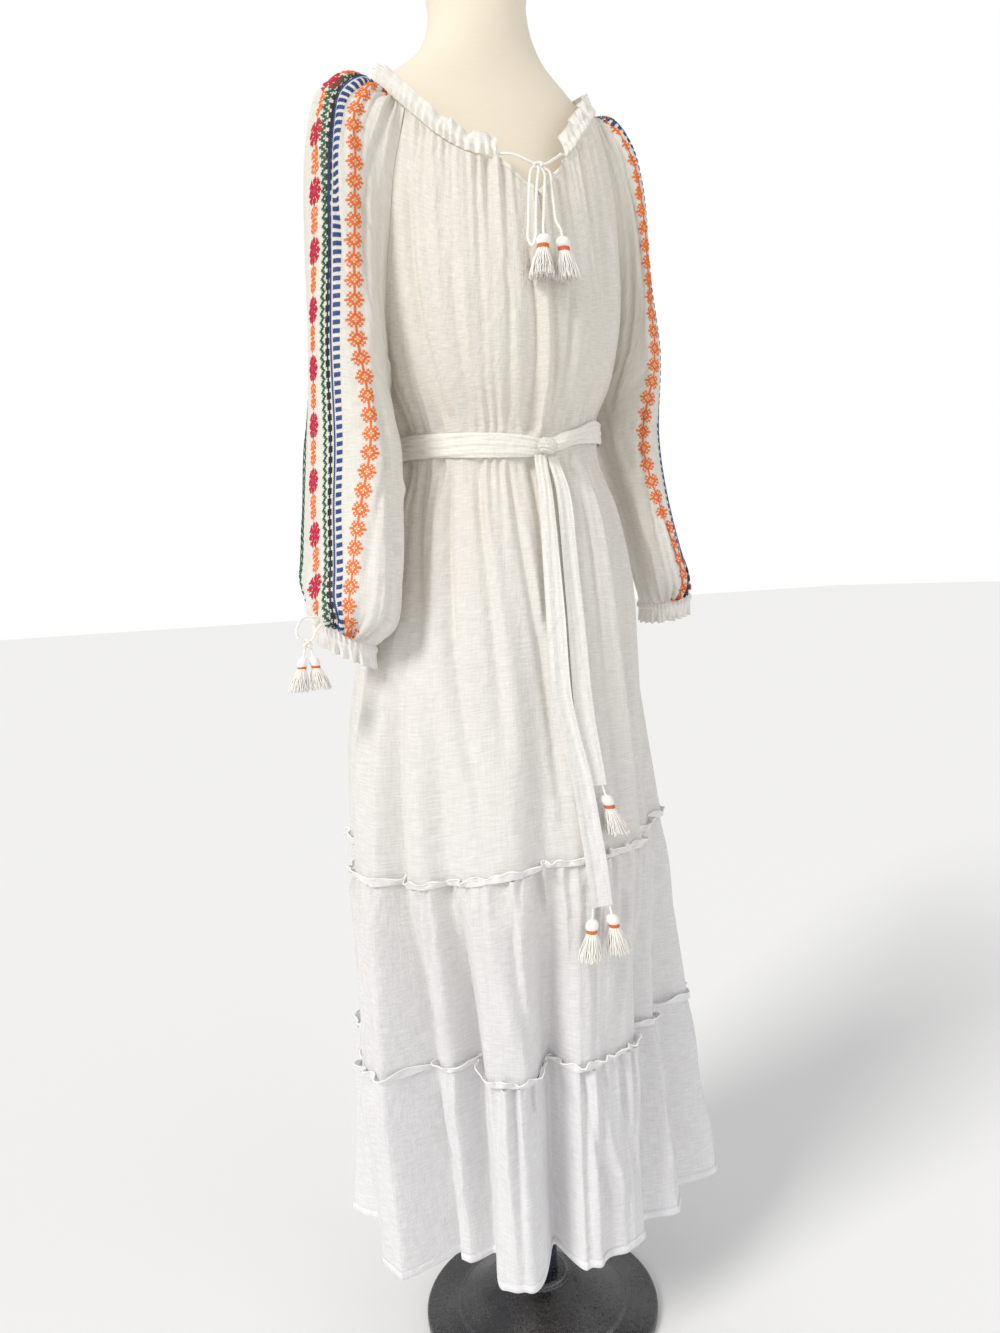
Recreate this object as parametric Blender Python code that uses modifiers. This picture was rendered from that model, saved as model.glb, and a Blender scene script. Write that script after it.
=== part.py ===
"""Peasant dress in thin cotton gauze, worn by a limbless dress form on a round metal stand.

Metres, +Z up. The wearer faces -Y, and the wearer's right is at -X. The origin is the centre of the
stand's underside. Angles run round the body in degrees, 0 at the centre front and +90 at the wearer's left.
"""

import math

import bmesh
import bpy
import numpy as np

# Driving dimensions
CLOTH = 0.0012
SEAM_GAP = 0.0003
TIER_GAP = 0.0005
LAYER_GAP = 0.0004
HEM_Z = 0.155
LOWER_SEAM_Z = 0.400
UPPER_SEAM_Z = 0.648
UPPER_SEAM_DROOP = 0.022
UNDERARM_ANGLE = 94.0
SIDE_SEAM_RIGHT = -98.0
SIDE_SEAM_LEFT = 88.0
NECK_FRILL_HEIGHT = 0.026
CUFF_FRILL_HEIGHT = 0.025
SEAM_FRILL_HEIGHT = 0.010
BELT_WIDTH = 0.027
BELT_THICKNESS = 0.0016
CORD_DIAMETER = 0.0032
POLE_RADIUS = 0.021
POLE_TOP_Z = 0.800
NECK_OPENING_ANGLE = 18.0
FRONT_RAGLAN_ANGLE = 62.0
BACK_RAGLAN_ANGLE = 124.0

# Form, from the underside to the top of the neck: height, half width, reach forward, reach back
FORM_SECTIONS = (
    (0.8003, 0.146, 0.098, 0.118),
    (0.860, 0.149, 0.108, 0.132),
    (0.930, 0.146, 0.109, 0.124),
    (1.000, 0.138, 0.104, 0.104),
    (1.060, 0.120, 0.098, 0.090),
    (1.115, 0.110, 0.094, 0.082),
    (1.190, 0.120, 0.108, 0.086),
    (1.265, 0.134, 0.126, 0.090),
    (1.330, 0.144, 0.122, 0.091),
    (1.390, 0.150, 0.111, 0.089),
    (1.440, 0.156, 0.095, 0.083),
    (1.480, 0.158, 0.080, 0.074),
    (1.503, 0.156, 0.072, 0.066),
    (1.525, 0.1390, 0.065, 0.061),
    (1.548, 0.1142, 0.061, 0.060),
    (1.570, 0.086, 0.060, 0.060),
    (1.595, 0.068, 0.061, 0.056),
    (1.630, 0.0590, 0.0620, 0.0520),
    (1.665, 0.0565, 0.0610, 0.0505),
    (1.673, 0.0490, 0.0540, 0.0430),
)

# Cloth of the body down to the upper seam: height, half width, reach forward, reach back, and how far it
# hangs over to the wearer's right
BODY_SECTIONS = (
    (1.545, 0.130, 0.086, 0.074, 0.000),
    (1.500, 0.146, 0.106, 0.088, 0.000),
    (1.430, 0.158, 0.125, 0.102, 0.000),
    (1.350, 0.160, 0.139, 0.108, 0.000),
    (1.270, 0.156, 0.147, 0.110, 0.000),
    (1.190, 0.142, 0.136, 0.106, 0.000),
    (1.115, 0.122, 0.114, 0.099, 0.000),
    (1.040, 0.137, 0.134, 0.113, 0.000),
    (0.960, 0.154, 0.150, 0.136, 0.003),
    (0.880, 0.171, 0.162, 0.154, 0.011),
    (0.780, 0.186, 0.172, 0.164, 0.011),
    (0.648, 0.198, 0.184, 0.168, 0.004),
)

# Skirt folds round the body: crest angle, half its spread, then the reach of the crest and of the hollow
# that follows it, at the hem, at the lower seam and at the upper seam
SKIRT_FOLDS = (
    (-172.0, 6.0, 0.198, 0.152, 0.184, 0.152, 0.174, 0.160),
    (-146.0, 7.0, 0.216, 0.166, 0.200, 0.164, 0.192, 0.178),
    (-117.0, 7.0, 0.240, 0.182, 0.216, 0.184, 0.213, 0.194),
    (-77.0, 9.0, 0.224, 0.142, 0.236, 0.164, 0.228, 0.196),
    (-61.0, 4.0, 0.154, 0.126, 0.172, 0.130, 0.208, 0.190),
    (-34.0, 11.0, 0.185, 0.104, 0.189, 0.124, 0.206, 0.182),
    (-3.0, 6.0, 0.163, 0.155, 0.168, 0.162, 0.192, 0.187),
    (20.0, 10.0, 0.163, 0.148, 0.160, 0.120, 0.184, 0.132),
    (51.0, 6.0, 0.187, 0.174, 0.162, 0.150, 0.166, 0.158),
    (75.0, 7.0, 0.247, 0.190, 0.216, 0.180, 0.189, 0.176),
    (101.0, 7.0, 0.232, 0.168, 0.208, 0.166, 0.188, 0.172),
    (129.0, 7.0, 0.218, 0.158, 0.200, 0.158, 0.182, 0.166),
    (157.0, 7.0, 0.206, 0.150, 0.188, 0.152, 0.176, 0.162),
)

# Raglan seams from the neck to the underarm: height, angle of the front seam, angle of the back seam. The
# first row lies at the neck's own height.
RAGLAN_PATH = (
    (1.488, 62.0, 124.0),
    (1.445, 64.0, 121.0),
    (1.390, 66.5, 117.0),
    (1.330, 70.0, 112.0),
    (1.270, 75.0, 107.0),
    (1.215, 83.0, 101.0),
    (1.180, 93.6, 94.4),
)

# Sleeve caps, a row for each raglan row below the neck: outermost point over the shoulder as reach out on
# the wearer's right and left, reach forward and height, then half the sleeve's depth from front to back
SLEEVE_CAP = (
    (0.166, 0.158, 0.000, 1.534, 0.068),
    (0.195, 0.178, 0.001, 1.521, 0.072),
    (0.214, 0.189, 0.002, 1.480, 0.076),
    (0.222, 0.193, 0.003, 1.420, 0.078),
    (0.226, 0.197, 0.004, 1.340, 0.080),
    (0.230, 0.207, 0.005, 1.255, 0.082),
)

# Sleeve tubes under the arm: height, inner side, outer side, centre forward, half depth, inward turn of the
# front in degrees, slope toward the dip of the cuff
RIGHT_SLEEVE = (
    (1.120, 0.1470, 0.236, 0.006, 0.090, 3.0, 0.0),
    (1.050, 0.1540, 0.243, 0.010, 0.096, 4.0, 0.0),
    (0.985, 0.1620, 0.250, 0.020, 0.096, 5.0, 0.20),
    (0.948, 0.1680, 0.257, 0.030, 0.082, 5.0, 0.45),
)
LEFT_SLEEVE = (
    (1.120, 0.1520, 0.221, 0.004, 0.080, 17.0, 0.0),
    (1.050, 0.1700, 0.230, 0.008, 0.082, 20.0, 0.0),
    (0.990, 0.1840, 0.241, 0.014, 0.080, 20.0, 0.10),
    (0.955, 0.1900, 0.249, 0.020, 0.064, 18.0, 0.20),
)

# Cuffs: centre out, centre forward, centre height, half length along the dip, half length across it,
# bearing of the dip round the body's axis, dip
RIGHT_CUFF = (0.2240, 0.040, 0.915, 0.039, 0.038, 64.0, 28.0)
LEFT_CUFF = (0.2210, 0.024, 0.929, 0.033, 0.034, -64.0, 12.0)

# Belt: bearing round the body and height of its middle
BELT_PATH = (
    (0.0, 1.110),
    (40.0, 1.131),
    (90.0, 1.135),
    (180.0, 1.132),
    (280.0, 1.121),
    (325.0, 1.114),
    (360.0, 1.110),
)
WAIST_Z = 1.112

# Seam between the body and the neck casing: bearing, height
NECK_EDGE = (
    (-180.0, 1.496),
    (-150.0, 1.505),
    (-120.0, 1.521),
    (-92.0, 1.5277),
    (-77.0, 1.513),
    (-57.0, 1.469),
    (-46.0, 1.443),
    (-34.0, 1.424),
    (-18.0, 1.418),
    (0.0, 1.418),
    (18.0, 1.427),
    (36.0, 1.464),
    (52.0, 1.494),
    (75.0, 1.520),
    (92.0, 1.528),
    (120.0, 1.521),
    (150.0, 1.505),
    (180.0, 1.496),
)

NECK_WAVES = 32
CUFF_WAVES = 14
WAIST_WAVES = 18
WAIST_WAVE = 0.0014


def clear_scene():
    for obj in list(bpy.data.objects):
        bpy.data.objects.remove(obj, do_unlink=True)


def make_collection(name):
    collection = bpy.data.collections.new(name)
    bpy.context.scene.collection.children.link(collection)
    return collection


def make_material(name, colour, roughness, metallic=0.0):
    material = bpy.data.materials.new(name)
    material.use_nodes = True
    shader = material.node_tree.nodes["Principled BSDF"]
    shader.inputs["Base Color"].default_value = (*colour, 1.0)
    shader.inputs["Roughness"].default_value = roughness
    shader.inputs["Metallic"].default_value = metallic
    return material


clear_scene()
PARTS = make_collection("peasant_dress")
GAUZE = make_material("gauze", (0.90, 0.88, 0.83), 0.85)
COVER = make_material("form_cover", (0.84, 0.76, 0.64), 0.8)
METAL = make_material("stand_metal", (0.16, 0.16, 0.17), 0.35, 0.9)
STRING = make_material("string", (0.93, 0.90, 0.82), 0.8)


def add_object(name, mesh, material):
    mesh.materials.append(material)
    obj = bpy.data.objects.new(name, mesh)
    PARTS.objects.link(obj)
    return obj


# Curves through tables


def ease(share):
    share = min(max(share, 0.0), 1.0)
    return share * share * (3.0 - 2.0 * share)


def through(x, table, column):
    """A smooth value at x, through one column of a table whose first column is x."""
    rows = sorted(table)
    xs = np.array([row[0] for row in rows])
    ys = np.array([row[column] for row in rows])
    slopes = np.gradient(ys, xs)
    x = min(max(x, xs[0]), xs[-1])
    i = min(int(np.searchsorted(xs, x, side="right")) - 1, len(xs) - 2)
    span = xs[i + 1] - xs[i]
    t = (x - xs[i]) / span
    start = (1 + 2 * t) * (1 - t) ** 2 * ys[i] + t * (1 - t) ** 2 * span * slopes[i]
    end = t * t * (3 - 2 * t) * ys[i + 1] + t * t * (t - 1) * span * slopes[i + 1]
    return float(start + end)


def wrapped(angle):
    return (angle + 180.0) % 360.0 - 180.0


# The cloth's reach from the body's upright axis


def section_reach(table, angle, height, power=2.15):
    width = through(height, table, 1)
    side = abs(math.sin(math.radians(angle)))
    ahead = math.cos(math.radians(angle))
    depth = through(height, table, 2 if ahead > 0 else 3)
    return ((side / width) ** power + (abs(ahead) / depth) ** power) ** (-1 / power)


def belt_middle(angle):
    return through(angle % 360.0, BELT_PATH, 1)


def held_height(angle, height):
    """The height at which the body's section is read: the belt holds the cloth at its waist."""
    middle = belt_middle(angle)
    beyond = abs(height - middle) - BELT_WIDTH / 2
    edge = middle + math.copysign(BELT_WIDTH / 2, height - middle)
    if beyond <= 0:
        return WAIST_Z
    return height + (WAIST_Z - edge) * math.exp(-beyond / 0.04)


def body_reach(angle, height):
    level = held_height(angle, height)
    sway = through(level, BODY_SECTIONS, 4) * math.sin(math.radians(angle))
    return section_reach(BODY_SECTIONS, angle, level) - sway


def fold_reach(angle, column):
    """Reach of the folded skirt at one level: 2 is the hem, 4 the lower seam and 6 the upper seam."""
    angle = wrapped(angle)
    count = len(SKIRT_FOLDS)
    for i in range(count):
        crest, spread = SKIRT_FOLDS[i][:2]
        following = SKIRT_FOLDS[(i + 1) % count]
        gap = (following[0] - crest) % 360.0
        ahead = (angle - crest) % 360.0
        if ahead > gap:
            continue
        hollow_at = (spread + gap - following[1]) / 2
        out, hollow = SKIRT_FOLDS[i][column], SKIRT_FOLDS[i][column + 1]
        if ahead <= hollow_at:
            share = ease((ahead - 0.5 * spread) / (hollow_at - 0.5 * spread))
            return out + (hollow - out) * share
        rise_end = gap - 0.5 * following[1]
        share = ease((ahead - hollow_at) / (rise_end - hollow_at))
        return hollow + (following[column] - hollow) * share
    return SKIRT_FOLDS[0][column]


def gather(angle, waves, phase=0.0):
    """A wave with rounded crests and narrower hollows, from -1 to 1."""
    wave = math.cos(math.radians(angle * waves) + phase)
    return wave * (1.0 + 0.25 * math.sin(math.radians(3 * angle) + phase))


def neck_height(angle):
    """Height of the neck casing's seam, low in front and high over the shoulders."""
    return through(wrapped(angle), NECK_EDGE, 1)


def upper_seam_height(angle):
    """Height of the upper seam, which hangs lowest beside the wearer's right thigh."""
    return UPPER_SEAM_Z - UPPER_SEAM_DROOP * math.exp(-((wrapped(angle + 62.0) / 30.0) ** 2))


def cloth_reach(angle, height):
    """Reach of the cloth's outer face at any height from the neck to the hem."""
    if height >= UPPER_SEAM_Z:
        share = 1.0 - ease((height - UPPER_SEAM_Z) / 0.34)
        reach = body_reach(angle, height)
        reach += (fold_reach(angle, 6) - body_reach(angle, UPPER_SEAM_Z)) * share
        waist = math.exp(-(((held_height(angle, height) - WAIST_Z) / 0.055) ** 2))
        reach += WAIST_WAVE * waist * gather(angle, WAIST_WAVES)
        below_neck = neck_height(angle) - height
        return reach + 0.0016 * math.exp(-max(below_neck, 0.0) / 0.045) * gather(angle, NECK_WAVES)
    if height >= LOWER_SEAM_Z:
        share = (UPPER_SEAM_Z - height) / (UPPER_SEAM_Z - LOWER_SEAM_Z)
        reach = fold_reach(angle, 6) * (1 - share) + fold_reach(angle, 4) * share
        drop = UPPER_SEAM_Z - height
    else:
        share = (LOWER_SEAM_Z - height) / (LOWER_SEAM_Z - HEM_Z)
        reach = fold_reach(angle, 4) * (1 - share) + fold_reach(angle, 2) * share
        drop = LOWER_SEAM_Z - height
    puff = 0.005 * math.sin(math.pi * min(drop / 0.12, 1.0))
    return reach + puff * (1 - share)


def cloth_point(angle, height, out=0.0):
    reach = cloth_reach(angle, height) + out
    turn = math.radians(angle)
    return np.array([reach * math.sin(turn), -reach * math.cos(turn), height])


# Open sheets given their thickness inward


def sheet_object(name, grid, closed=False, thickness=CLOTH, material=GAUZE):
    """A cloth wall from rows of points. Rows run downward, and each row runs toward the wearer's left."""
    rows, columns = len(grid), len(grid[0])
    points = [tuple(point) for row in grid for point in row]
    faces = []
    for i in range(rows - 1):
        for j in range(columns if closed else columns - 1):
            k = (j + 1) % columns
            a, b = i * columns + j, i * columns + k
            faces.append((a, a + columns, b + columns, b))
    mesh = bpy.data.meshes.new(name)
    mesh.from_pydata(points, [], faces)
    mesh.update()
    obj = add_object(name, mesh, material)
    wall = obj.modifiers.new("wall", "SOLIDIFY")
    wall.thickness = thickness
    wall.offset = -1.0
    mesh.shade_smooth()
    return obj


def side_gap_angle(reach):
    return math.degrees(SEAM_GAP / 2 / reach)


# Form and stand


def make_form():
    columns, grid = 28, []
    for height, *_ in FORM_SECTIONS:
        turns = [360.0 * j / columns for j in range(columns)]
        row = []
        for angle in turns:
            reach = section_reach(FORM_SECTIONS, angle, height, 2.0)
            turn = math.radians(angle)
            row.append((reach * math.sin(turn), -reach * math.cos(turn), height))
        grid.append(row)
    body = bmesh.new()
    rings = [[body.verts.new(point) for point in row] for row in grid]
    for lower, upper in zip(rings, rings[1:]):
        for j in range(columns):
            k = (j + 1) % columns
            body.faces.new((lower[j], lower[k], upper[k], upper[j]))
    body.faces.new(list(reversed(rings[0])))
    body.faces.new(rings[-1])
    bmesh.ops.recalc_face_normals(body, faces=body.faces)
    mesh = bpy.data.meshes.new("dress_form")
    body.to_mesh(mesh)
    body.free()
    mesh.shade_smooth()
    mesh.set_sharp_from_angle(angle=math.radians(50))
    return add_object("dress_form", mesh, COVER)


def turned_object(name, profile, steps, material):
    """A solid of revolution. The profile runs from the top of the axis outward and down to the underside."""
    mesh = bpy.data.meshes.new(name)
    edges = [(i, i + 1) for i in range(len(profile) - 1)]
    mesh.from_pydata([(reach, 0.0, height) for reach, height in profile], edges, [])
    obj = add_object(name, mesh, material)
    spin = obj.modifiers.new("turn", "SCREW")
    spin.steps = spin.render_steps = steps
    spin.use_merge_vertices = True
    spin.merge_threshold = 0.00001
    spin.use_smooth_shade = True
    return obj


# Stand base, from the collar round the pole down the bell and over the flat flange: reach, height
BASE_PROFILE = (
    (0.0, 0.0520),
    (0.0330, 0.0520),
    (0.0360, 0.0490),
    (0.0365, 0.0440),
    (0.0520, 0.0405),
    (0.0760, 0.0310),
    (0.0960, 0.0210),
    (0.1070, 0.0160),
    (0.1110, 0.0118),
    (0.1180, 0.0112),
    (0.1500, 0.0100),
    (0.1525, 0.0080),
    (0.1525, 0.0000),
    (0.0, 0.0),
)


def make_stand():
    turned_object("stand_base", BASE_PROFILE, 32, METAL)
    foot = BASE_PROFILE[0][1] + SEAM_GAP
    top = POLE_TOP_Z
    pole = ((0.0, top), (POLE_RADIUS, top), (POLE_RADIUS, foot), (0.0, foot))
    turned_object("stand_pole", pole, 20, METAL)


# Body panels between the raglan seams, and the sleeves


def raglan_point(row, side, back, out=0.0):
    height, front_angle, back_angle = RAGLAN_PATH[row]
    angle = back_angle if back else front_angle
    if row == 0:
        height = neck_height(angle)
    return cloth_point(side * angle, height, out)


def neck_notch(angle):
    """How far the open slit at the centre front lowers the neck edge."""
    return 0.034 * max(0.0, 1.0 - abs(angle) / NECK_OPENING_ANGLE)


def side_seams(height):
    """Angles of the two side seams, which run from the underarms into the hollows of the skirt."""
    share = ease((1.04 - height) / 0.18)
    right = -UNDERARM_ANGLE + (SIDE_SEAM_RIGHT + UNDERARM_ANGLE) * share
    left = UNDERARM_ANGLE + (SIDE_SEAM_LEFT - UNDERARM_ANGLE) * share
    return right, left


def span(back):
    """First and last angle of the skirt's front or back."""
    if back:
        return SIDE_SEAM_LEFT, SIDE_SEAM_RIGHT + 360.0
    return SIDE_SEAM_RIGHT, SIDE_SEAM_LEFT


def skirt_columns(back):
    """Column angles between two side seams: two on each crest, one in each hollow and one on each flank."""
    start, end = span(back)
    own = side_gap_angle(0.16)
    count = len(SKIRT_FOLDS)
    found = []
    for i in range(count):
        crest, spread = SKIRT_FOLDS[i][:2]
        following = SKIRT_FOLDS[(i + 1) % count]
        gap = (following[0] - crest) % 360.0
        hollow_at = (spread + gap - following[1]) / 2
        marks = (-0.5 * spread, 0.5 * spread, 0.25 * spread + 0.5 * hollow_at, hollow_at)
        marks += (0.5 * (hollow_at + gap - 0.5 * following[1]),)
        found += [start + (crest + mark - start) % 360.0 for mark in marks]
    inside = sorted(angle for angle in found if start + 2.0 < angle < end - 2.0)
    kept = [start + own]
    for angle in inside:
        if angle - kept[-1] > 1.5:
            kept.append(angle)
    return kept + [end - own]


def panel_grid(back):
    """Rows of a front or back panel, from the neck down to the upper seam."""
    centre = 180.0 if back else 0.0
    angles = skirt_columns(back)
    start, end = span(back)
    shares = [2.0 * (angle - start) / (end - start) - 1.0 for angle in angles]
    shares[0], shares[-1] = -1.0, 1.0
    grid = []
    underarm = RAGLAN_PATH[-1][0]
    top_edge = 180.0 - BACK_RAGLAN_ANGLE if back else FRONT_RAGLAN_ANGLE
    edge_necks = neck_height(centre - top_edge), neck_height(centre + top_edge)
    for i, (height, front_angle, back_angle) in enumerate(RAGLAN_PATH):
        edge = 180.0 - back_angle if back else front_angle
        edge -= side_gap_angle(0.13) * 1.2
        row = []
        for share in shares:
            edge_neck = (edge_necks[0] * (1 - share) + edge_necks[1] * (1 + share)) / 2
            down = (edge_neck - height) / (edge_neck - underarm) if i else 0.0
            top_angle = centre + share * top_edge
            level = neck_height(top_angle) * (1 - down) + underarm * down
            if not back:
                level -= neck_notch(top_angle) * (1 - down) ** 3
            row.append(cloth_point(centre + share * edge, level))
        grid.append(row)
    for rise in (0.5, -0.5, 1.050, 0.980, 0.890, 0.780, None):
        row = []
        for share, angle in zip(shares, angles):
            if rise is None:
                row.append(cloth_point(angle, upper_seam_height(angle)))
                continue
            held = abs(rise) < 0.6
            height = WAIST_Z if held else rise
            right, left = side_seams(height)
            first, final = (left, right + 360.0) if back else (right, left)
            own = side_gap_angle(0.125)
            angle = first + own + (final - first - 2 * own) * (share + 1.0) / 2.0
            if held:
                height = belt_middle(angle) + rise * BELT_WIDTH
            row.append(cloth_point(angle, height))
        grid.append(row)
    return grid


def make_panels():
    sheet_object("panel_front", panel_grid(False))
    sheet_object("panel_back", panel_grid(True))


def sleeve_row(inner, outer, front, depth, columns, half_gap):
    """Points of one sleeve row, from the back edge over the outer side to the front edge.

    The row is part of an ellipse that starts and ends a half gap beside the inner point."""
    along = outer - inner
    length = np.linalg.norm(along)
    along = along / length
    half = min(half_gap, depth * 0.999)
    end = math.pi - math.asin(half / depth)
    lateral = length / (1.0 - math.cos(end))
    centre = inner - along * lateral * math.cos(end)
    turns = [end * (2.0 * j / columns - 1.0) for j in range(columns + 1)]
    return [centre + along * lateral * math.cos(t) + front * depth * math.sin(t) for t in turns]


def cuff_ring(cuff, side, columns, grow, drop, waves=0.0):
    """A closed ring round the cuff, which dips toward one bearing."""
    out, ahead, height, along, across, bearing, dip = cuff
    turn = math.radians(bearing)
    down_slope = np.array([math.sin(turn), -math.cos(turn), 0.0]) * math.cos(math.radians(dip))
    down_slope[2] = -math.sin(math.radians(dip))
    level = np.array([math.cos(turn), math.sin(turn), 0.0])
    centre = np.array([side * out, -ahead, height - drop])
    ring = []
    for j in range(columns):
        turn = -math.pi + 2 * math.pi * j / columns
        wave = waves * math.cos(turn * CUFF_WAVES)
        x = (along + grow + wave) * math.cos(turn)
        y = (across + grow + wave) * math.sin(turn)
        ring.append(centre + down_slope * x + level * y)
    return ring


def sleeve_grid(side, tube, cuff):
    columns = 26
    inside = SEAM_GAP + 0.0002
    own = side_gap_angle(0.13) * 1.2
    first, final = BACK_RAGLAN_ANGLE - own, FRONT_RAGLAN_ANGLE + own
    turns = [side * (first + (final - first) * j / columns) for j in range(columns + 1)]
    grid = [[cloth_point(turn, neck_height(turn)) for turn in turns]]
    for i, (right_out, left_out, ahead, height, depth) in enumerate(SLEEVE_CAP, start=1):
        front_point = raglan_point(i, side, False)
        back_point = raglan_point(i, side, True)
        across = front_point - back_point
        gap = np.linalg.norm(across)
        across = across / gap
        inner = (front_point + back_point) / 2
        outer = np.array([side * (right_out if side < 0 else left_out), -ahead, height])
        half = gap / 2 - inside if i < len(SLEEVE_CAP) else 0.0
        inner = inner + np.array([side * inside * 3, 0, 0]) if half == 0.0 else inner
        grid.append(sleeve_row(inner, outer, across, max(depth, half * 1.02), columns, half))
    bearing = math.radians(cuff[5])
    for height, inner_x, outer_x, ahead, depth, turn, slope in tube:
        lean = math.radians(turn)
        front = np.array([-side * math.sin(lean), -math.cos(lean), 0.0])
        middle = np.array([side * (inner_x + outer_x) / 2, -ahead, height])
        reach = np.array([side * math.cos(lean), -math.sin(lean), 0.0]) * (outer_x - inner_x) / 2
        row = sleeve_row(middle - reach, middle + reach, front, depth, columns, 0.0)
        for point in row:
            offset = point - middle
            point[2] -= slope * (offset[0] * math.sin(bearing) - offset[1] * math.cos(bearing))
        grid.append(row)
    grid.append(cuff_ring_from(grid[-1], cuff, side))
    return [list(reversed(row)) for row in grid] if side > 0 else grid


def make_sleeve(name, side, tube, cuff):
    obj = sheet_object(name, sleeve_grid(side, tube, cuff))
    weld = obj.modifiers.new("underarm_seam", "WELD")
    weld.merge_threshold = 0.00005
    obj.modifiers.move(1, 0)
    return obj


def cuff_ring_from(row, cuff, side):
    """The casing's ring, with each point put where the sleeve's row above it is nearest."""
    ring = cuff_ring(cuff, side, 360, 0.0, 0.0)
    centre = sum(ring) / len(ring)
    middle = sum(row[:-1]) / len(row[:-1])
    angles = np.unwrap([math.atan2(*(point - centre)[1::-1]) for point in ring])
    wanted = np.unwrap([math.atan2(*(point - middle)[1::-1]) for point in row])
    found = []
    for angle in wanted:
        best = min(range(len(ring)), key=lambda k: abs(math.remainder(angles[k] - angle, 2 * math.pi)))
        found.append(ring[best])
    found[-1] = found[0]
    return found


def make_cuff_frill(name, side, cuff):
    columns = CUFF_WAVES * 3
    rows = ((0.0, 0.0010, 0.0), (-0.0010, 0.009, 0.0016), (-0.0020, CUFF_FRILL_HEIGHT, 0.0030))
    grid = [cuff_ring(cuff, side, columns, grow, drop, wave) for grow, drop, wave in rows]
    return sheet_object(name, grid, closed=True)


# Frills at the neck and at the two skirt seams


def make_neck_frill():
    """The gathered casing and ruffle, one strip round the neck, open at the centre front."""
    start = NECK_OPENING_ANGLE + 1.0
    columns = NECK_WAVES * 3
    top = NECK_FRILL_HEIGHT
    rows = ((top, -0.0090), (0.5 * top, -0.0020), (0.0011, 0.0))
    grid = []
    for rise, out in rows:
        row = []
        for j in range(columns + 1):
            angle = start + (360.0 - 2 * start) * j / columns
            edge = cloth_point(angle, neck_height(angle))
            turn = math.radians(angle)
            away = np.array([math.sin(turn), -math.cos(turn), 0.0])
            swing = 0.0026 * (rise / top) * math.cos(math.radians(NECK_WAVES * angle))
            row.append(edge + away * (out + swing) + np.array([0.0, 0.0, rise]))
        grid.append(row)
    return sheet_object("neck_frill", grid)


def moved_out(row, out):
    """A row of points moved out level, square to its line, but straight out from the axis at its ends."""
    moved = []
    for j, point in enumerate(row):
        distance = out(j) if callable(out) else out
        if j in (0, len(row) - 1):
            along = np.array([-point[1], point[0]])
        else:
            before, after = (row[j] - row[j - 1])[:2], (row[j + 1] - row[j])[:2]
            before, after = before / np.linalg.norm(before), after / np.linalg.norm(after)
            along = before + after
            distance /= max(0.5, np.linalg.norm(along) / 2)
        along = along / np.linalg.norm(along)
        moved.append(point + np.array([along[1], -along[0], 0.0]) * distance)
    return moved


def make_seam_frill(name, grid):
    """The small standing header of a gathered tier, made from the lower edge of the cloth that it lies on."""
    above, edge = grid[-2], grid[-1]
    last = len(edge) - 1
    raised = [low + (high - low) * SEAM_FRILL_HEIGHT / (high[2] - low[2]) for high, low in zip(above, edge)]

    def swing(j):
        return 0.0046 + 0.0026 * min(j, last - j, 2) / 2 * (-1) ** j

    return sheet_object(name, [moved_out(raised, swing), moved_out(edge, 2 * CLOTH + LAYER_GAP)])


# Gathered tiers


def lower_seam_height(angle):
    return LOWER_SEAM_Z


def hem_height(angle):
    return HEM_Z


def tier_grid(back, top, bottom, levels):
    grid = []
    for i in range(levels + 1):
        row = []
        for angle in skirt_columns(back):
            high = top(angle) - TIER_GAP
            row.append(cloth_point(angle, high + (bottom(angle) - high) * i / levels))
        grid.append(row)
    return grid


def make_skirt():
    for place, back in (("front", False), ("back", True)):
        middle = tier_grid(back, upper_seam_height, lower_seam_height, 2)
        sheet_object("tier_middle_" + place, middle)
        sheet_object("tier_bottom_" + place, tier_grid(back, lower_seam_height, hem_height, 2))
        make_seam_frill("seam_frill_upper_" + place, panel_grid(back))
        make_seam_frill("seam_frill_lower_" + place, middle)


KNOT_HALF = (0.0130, 0.0075, 0.0095)
BELT_KNOT_AT = (0.0, -0.1263, 1.110)

# Hanging belt ends, from the knot down: height, bearing of the middle, half width, distance from the cloth
LONG_TAIL = (
    (1.1010, -3.0, 0.0075, 0.0064),
    (1.070, -4.0, 0.0080, 0.0100),
    (1.040, -5.0, 0.0088, 0.0080),
    (1.000, -5.8, 0.0095, 0.0065),
    (0.927, -7.1, 0.0110, 0.0065),
    (0.829, -8.0, 0.0115, 0.0085),
    (0.740, -4.3, 0.0125, 0.0122),
    (0.679, -2.7, 0.0130, 0.0125),
    (0.627, -1.4, 0.0130, 0.0125),
    (0.600, -0.6, 0.0130, 0.0120),
)
SHORT_TAIL = (
    (1.0992, 4.4, 0.0060, 0.0058),
    (1.070, 5.4, 0.0080, 0.0072),
    (1.040, 5.0, 0.0095, 0.0050),
    (1.010, 4.2, 0.0100, 0.0036),
    (0.925, 2.2, 0.0115, 0.0036),
    (0.826, 0.6, 0.0120, 0.0038),
    (0.732, 1.6, 0.0125, 0.0078),
)


def rounded_solid(name, centre, half, tilt, material):
    """A knot as a plain rounded solid, tilted in the wearer's front plane."""
    bpy.ops.mesh.primitive_uv_sphere_add(segments=14, ring_count=8, radius=1.0)
    obj = bpy.context.object
    for vertex in obj.data.vertices:
        x, y, z = (part * size for part, size in zip(vertex.co, half))
        turn = math.radians(tilt)
        vertex.co = (x * math.cos(turn) - z * math.sin(turn), y, x * math.sin(turn) + z * math.cos(turn))
    obj.name = obj.data.name = name
    obj.location = centre
    obj.data.shade_smooth()
    obj.data.materials.append(material)
    for collection in list(obj.users_collection):
        collection.objects.unlink(obj)
    PARTS.objects.link(obj)
    return obj


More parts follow.
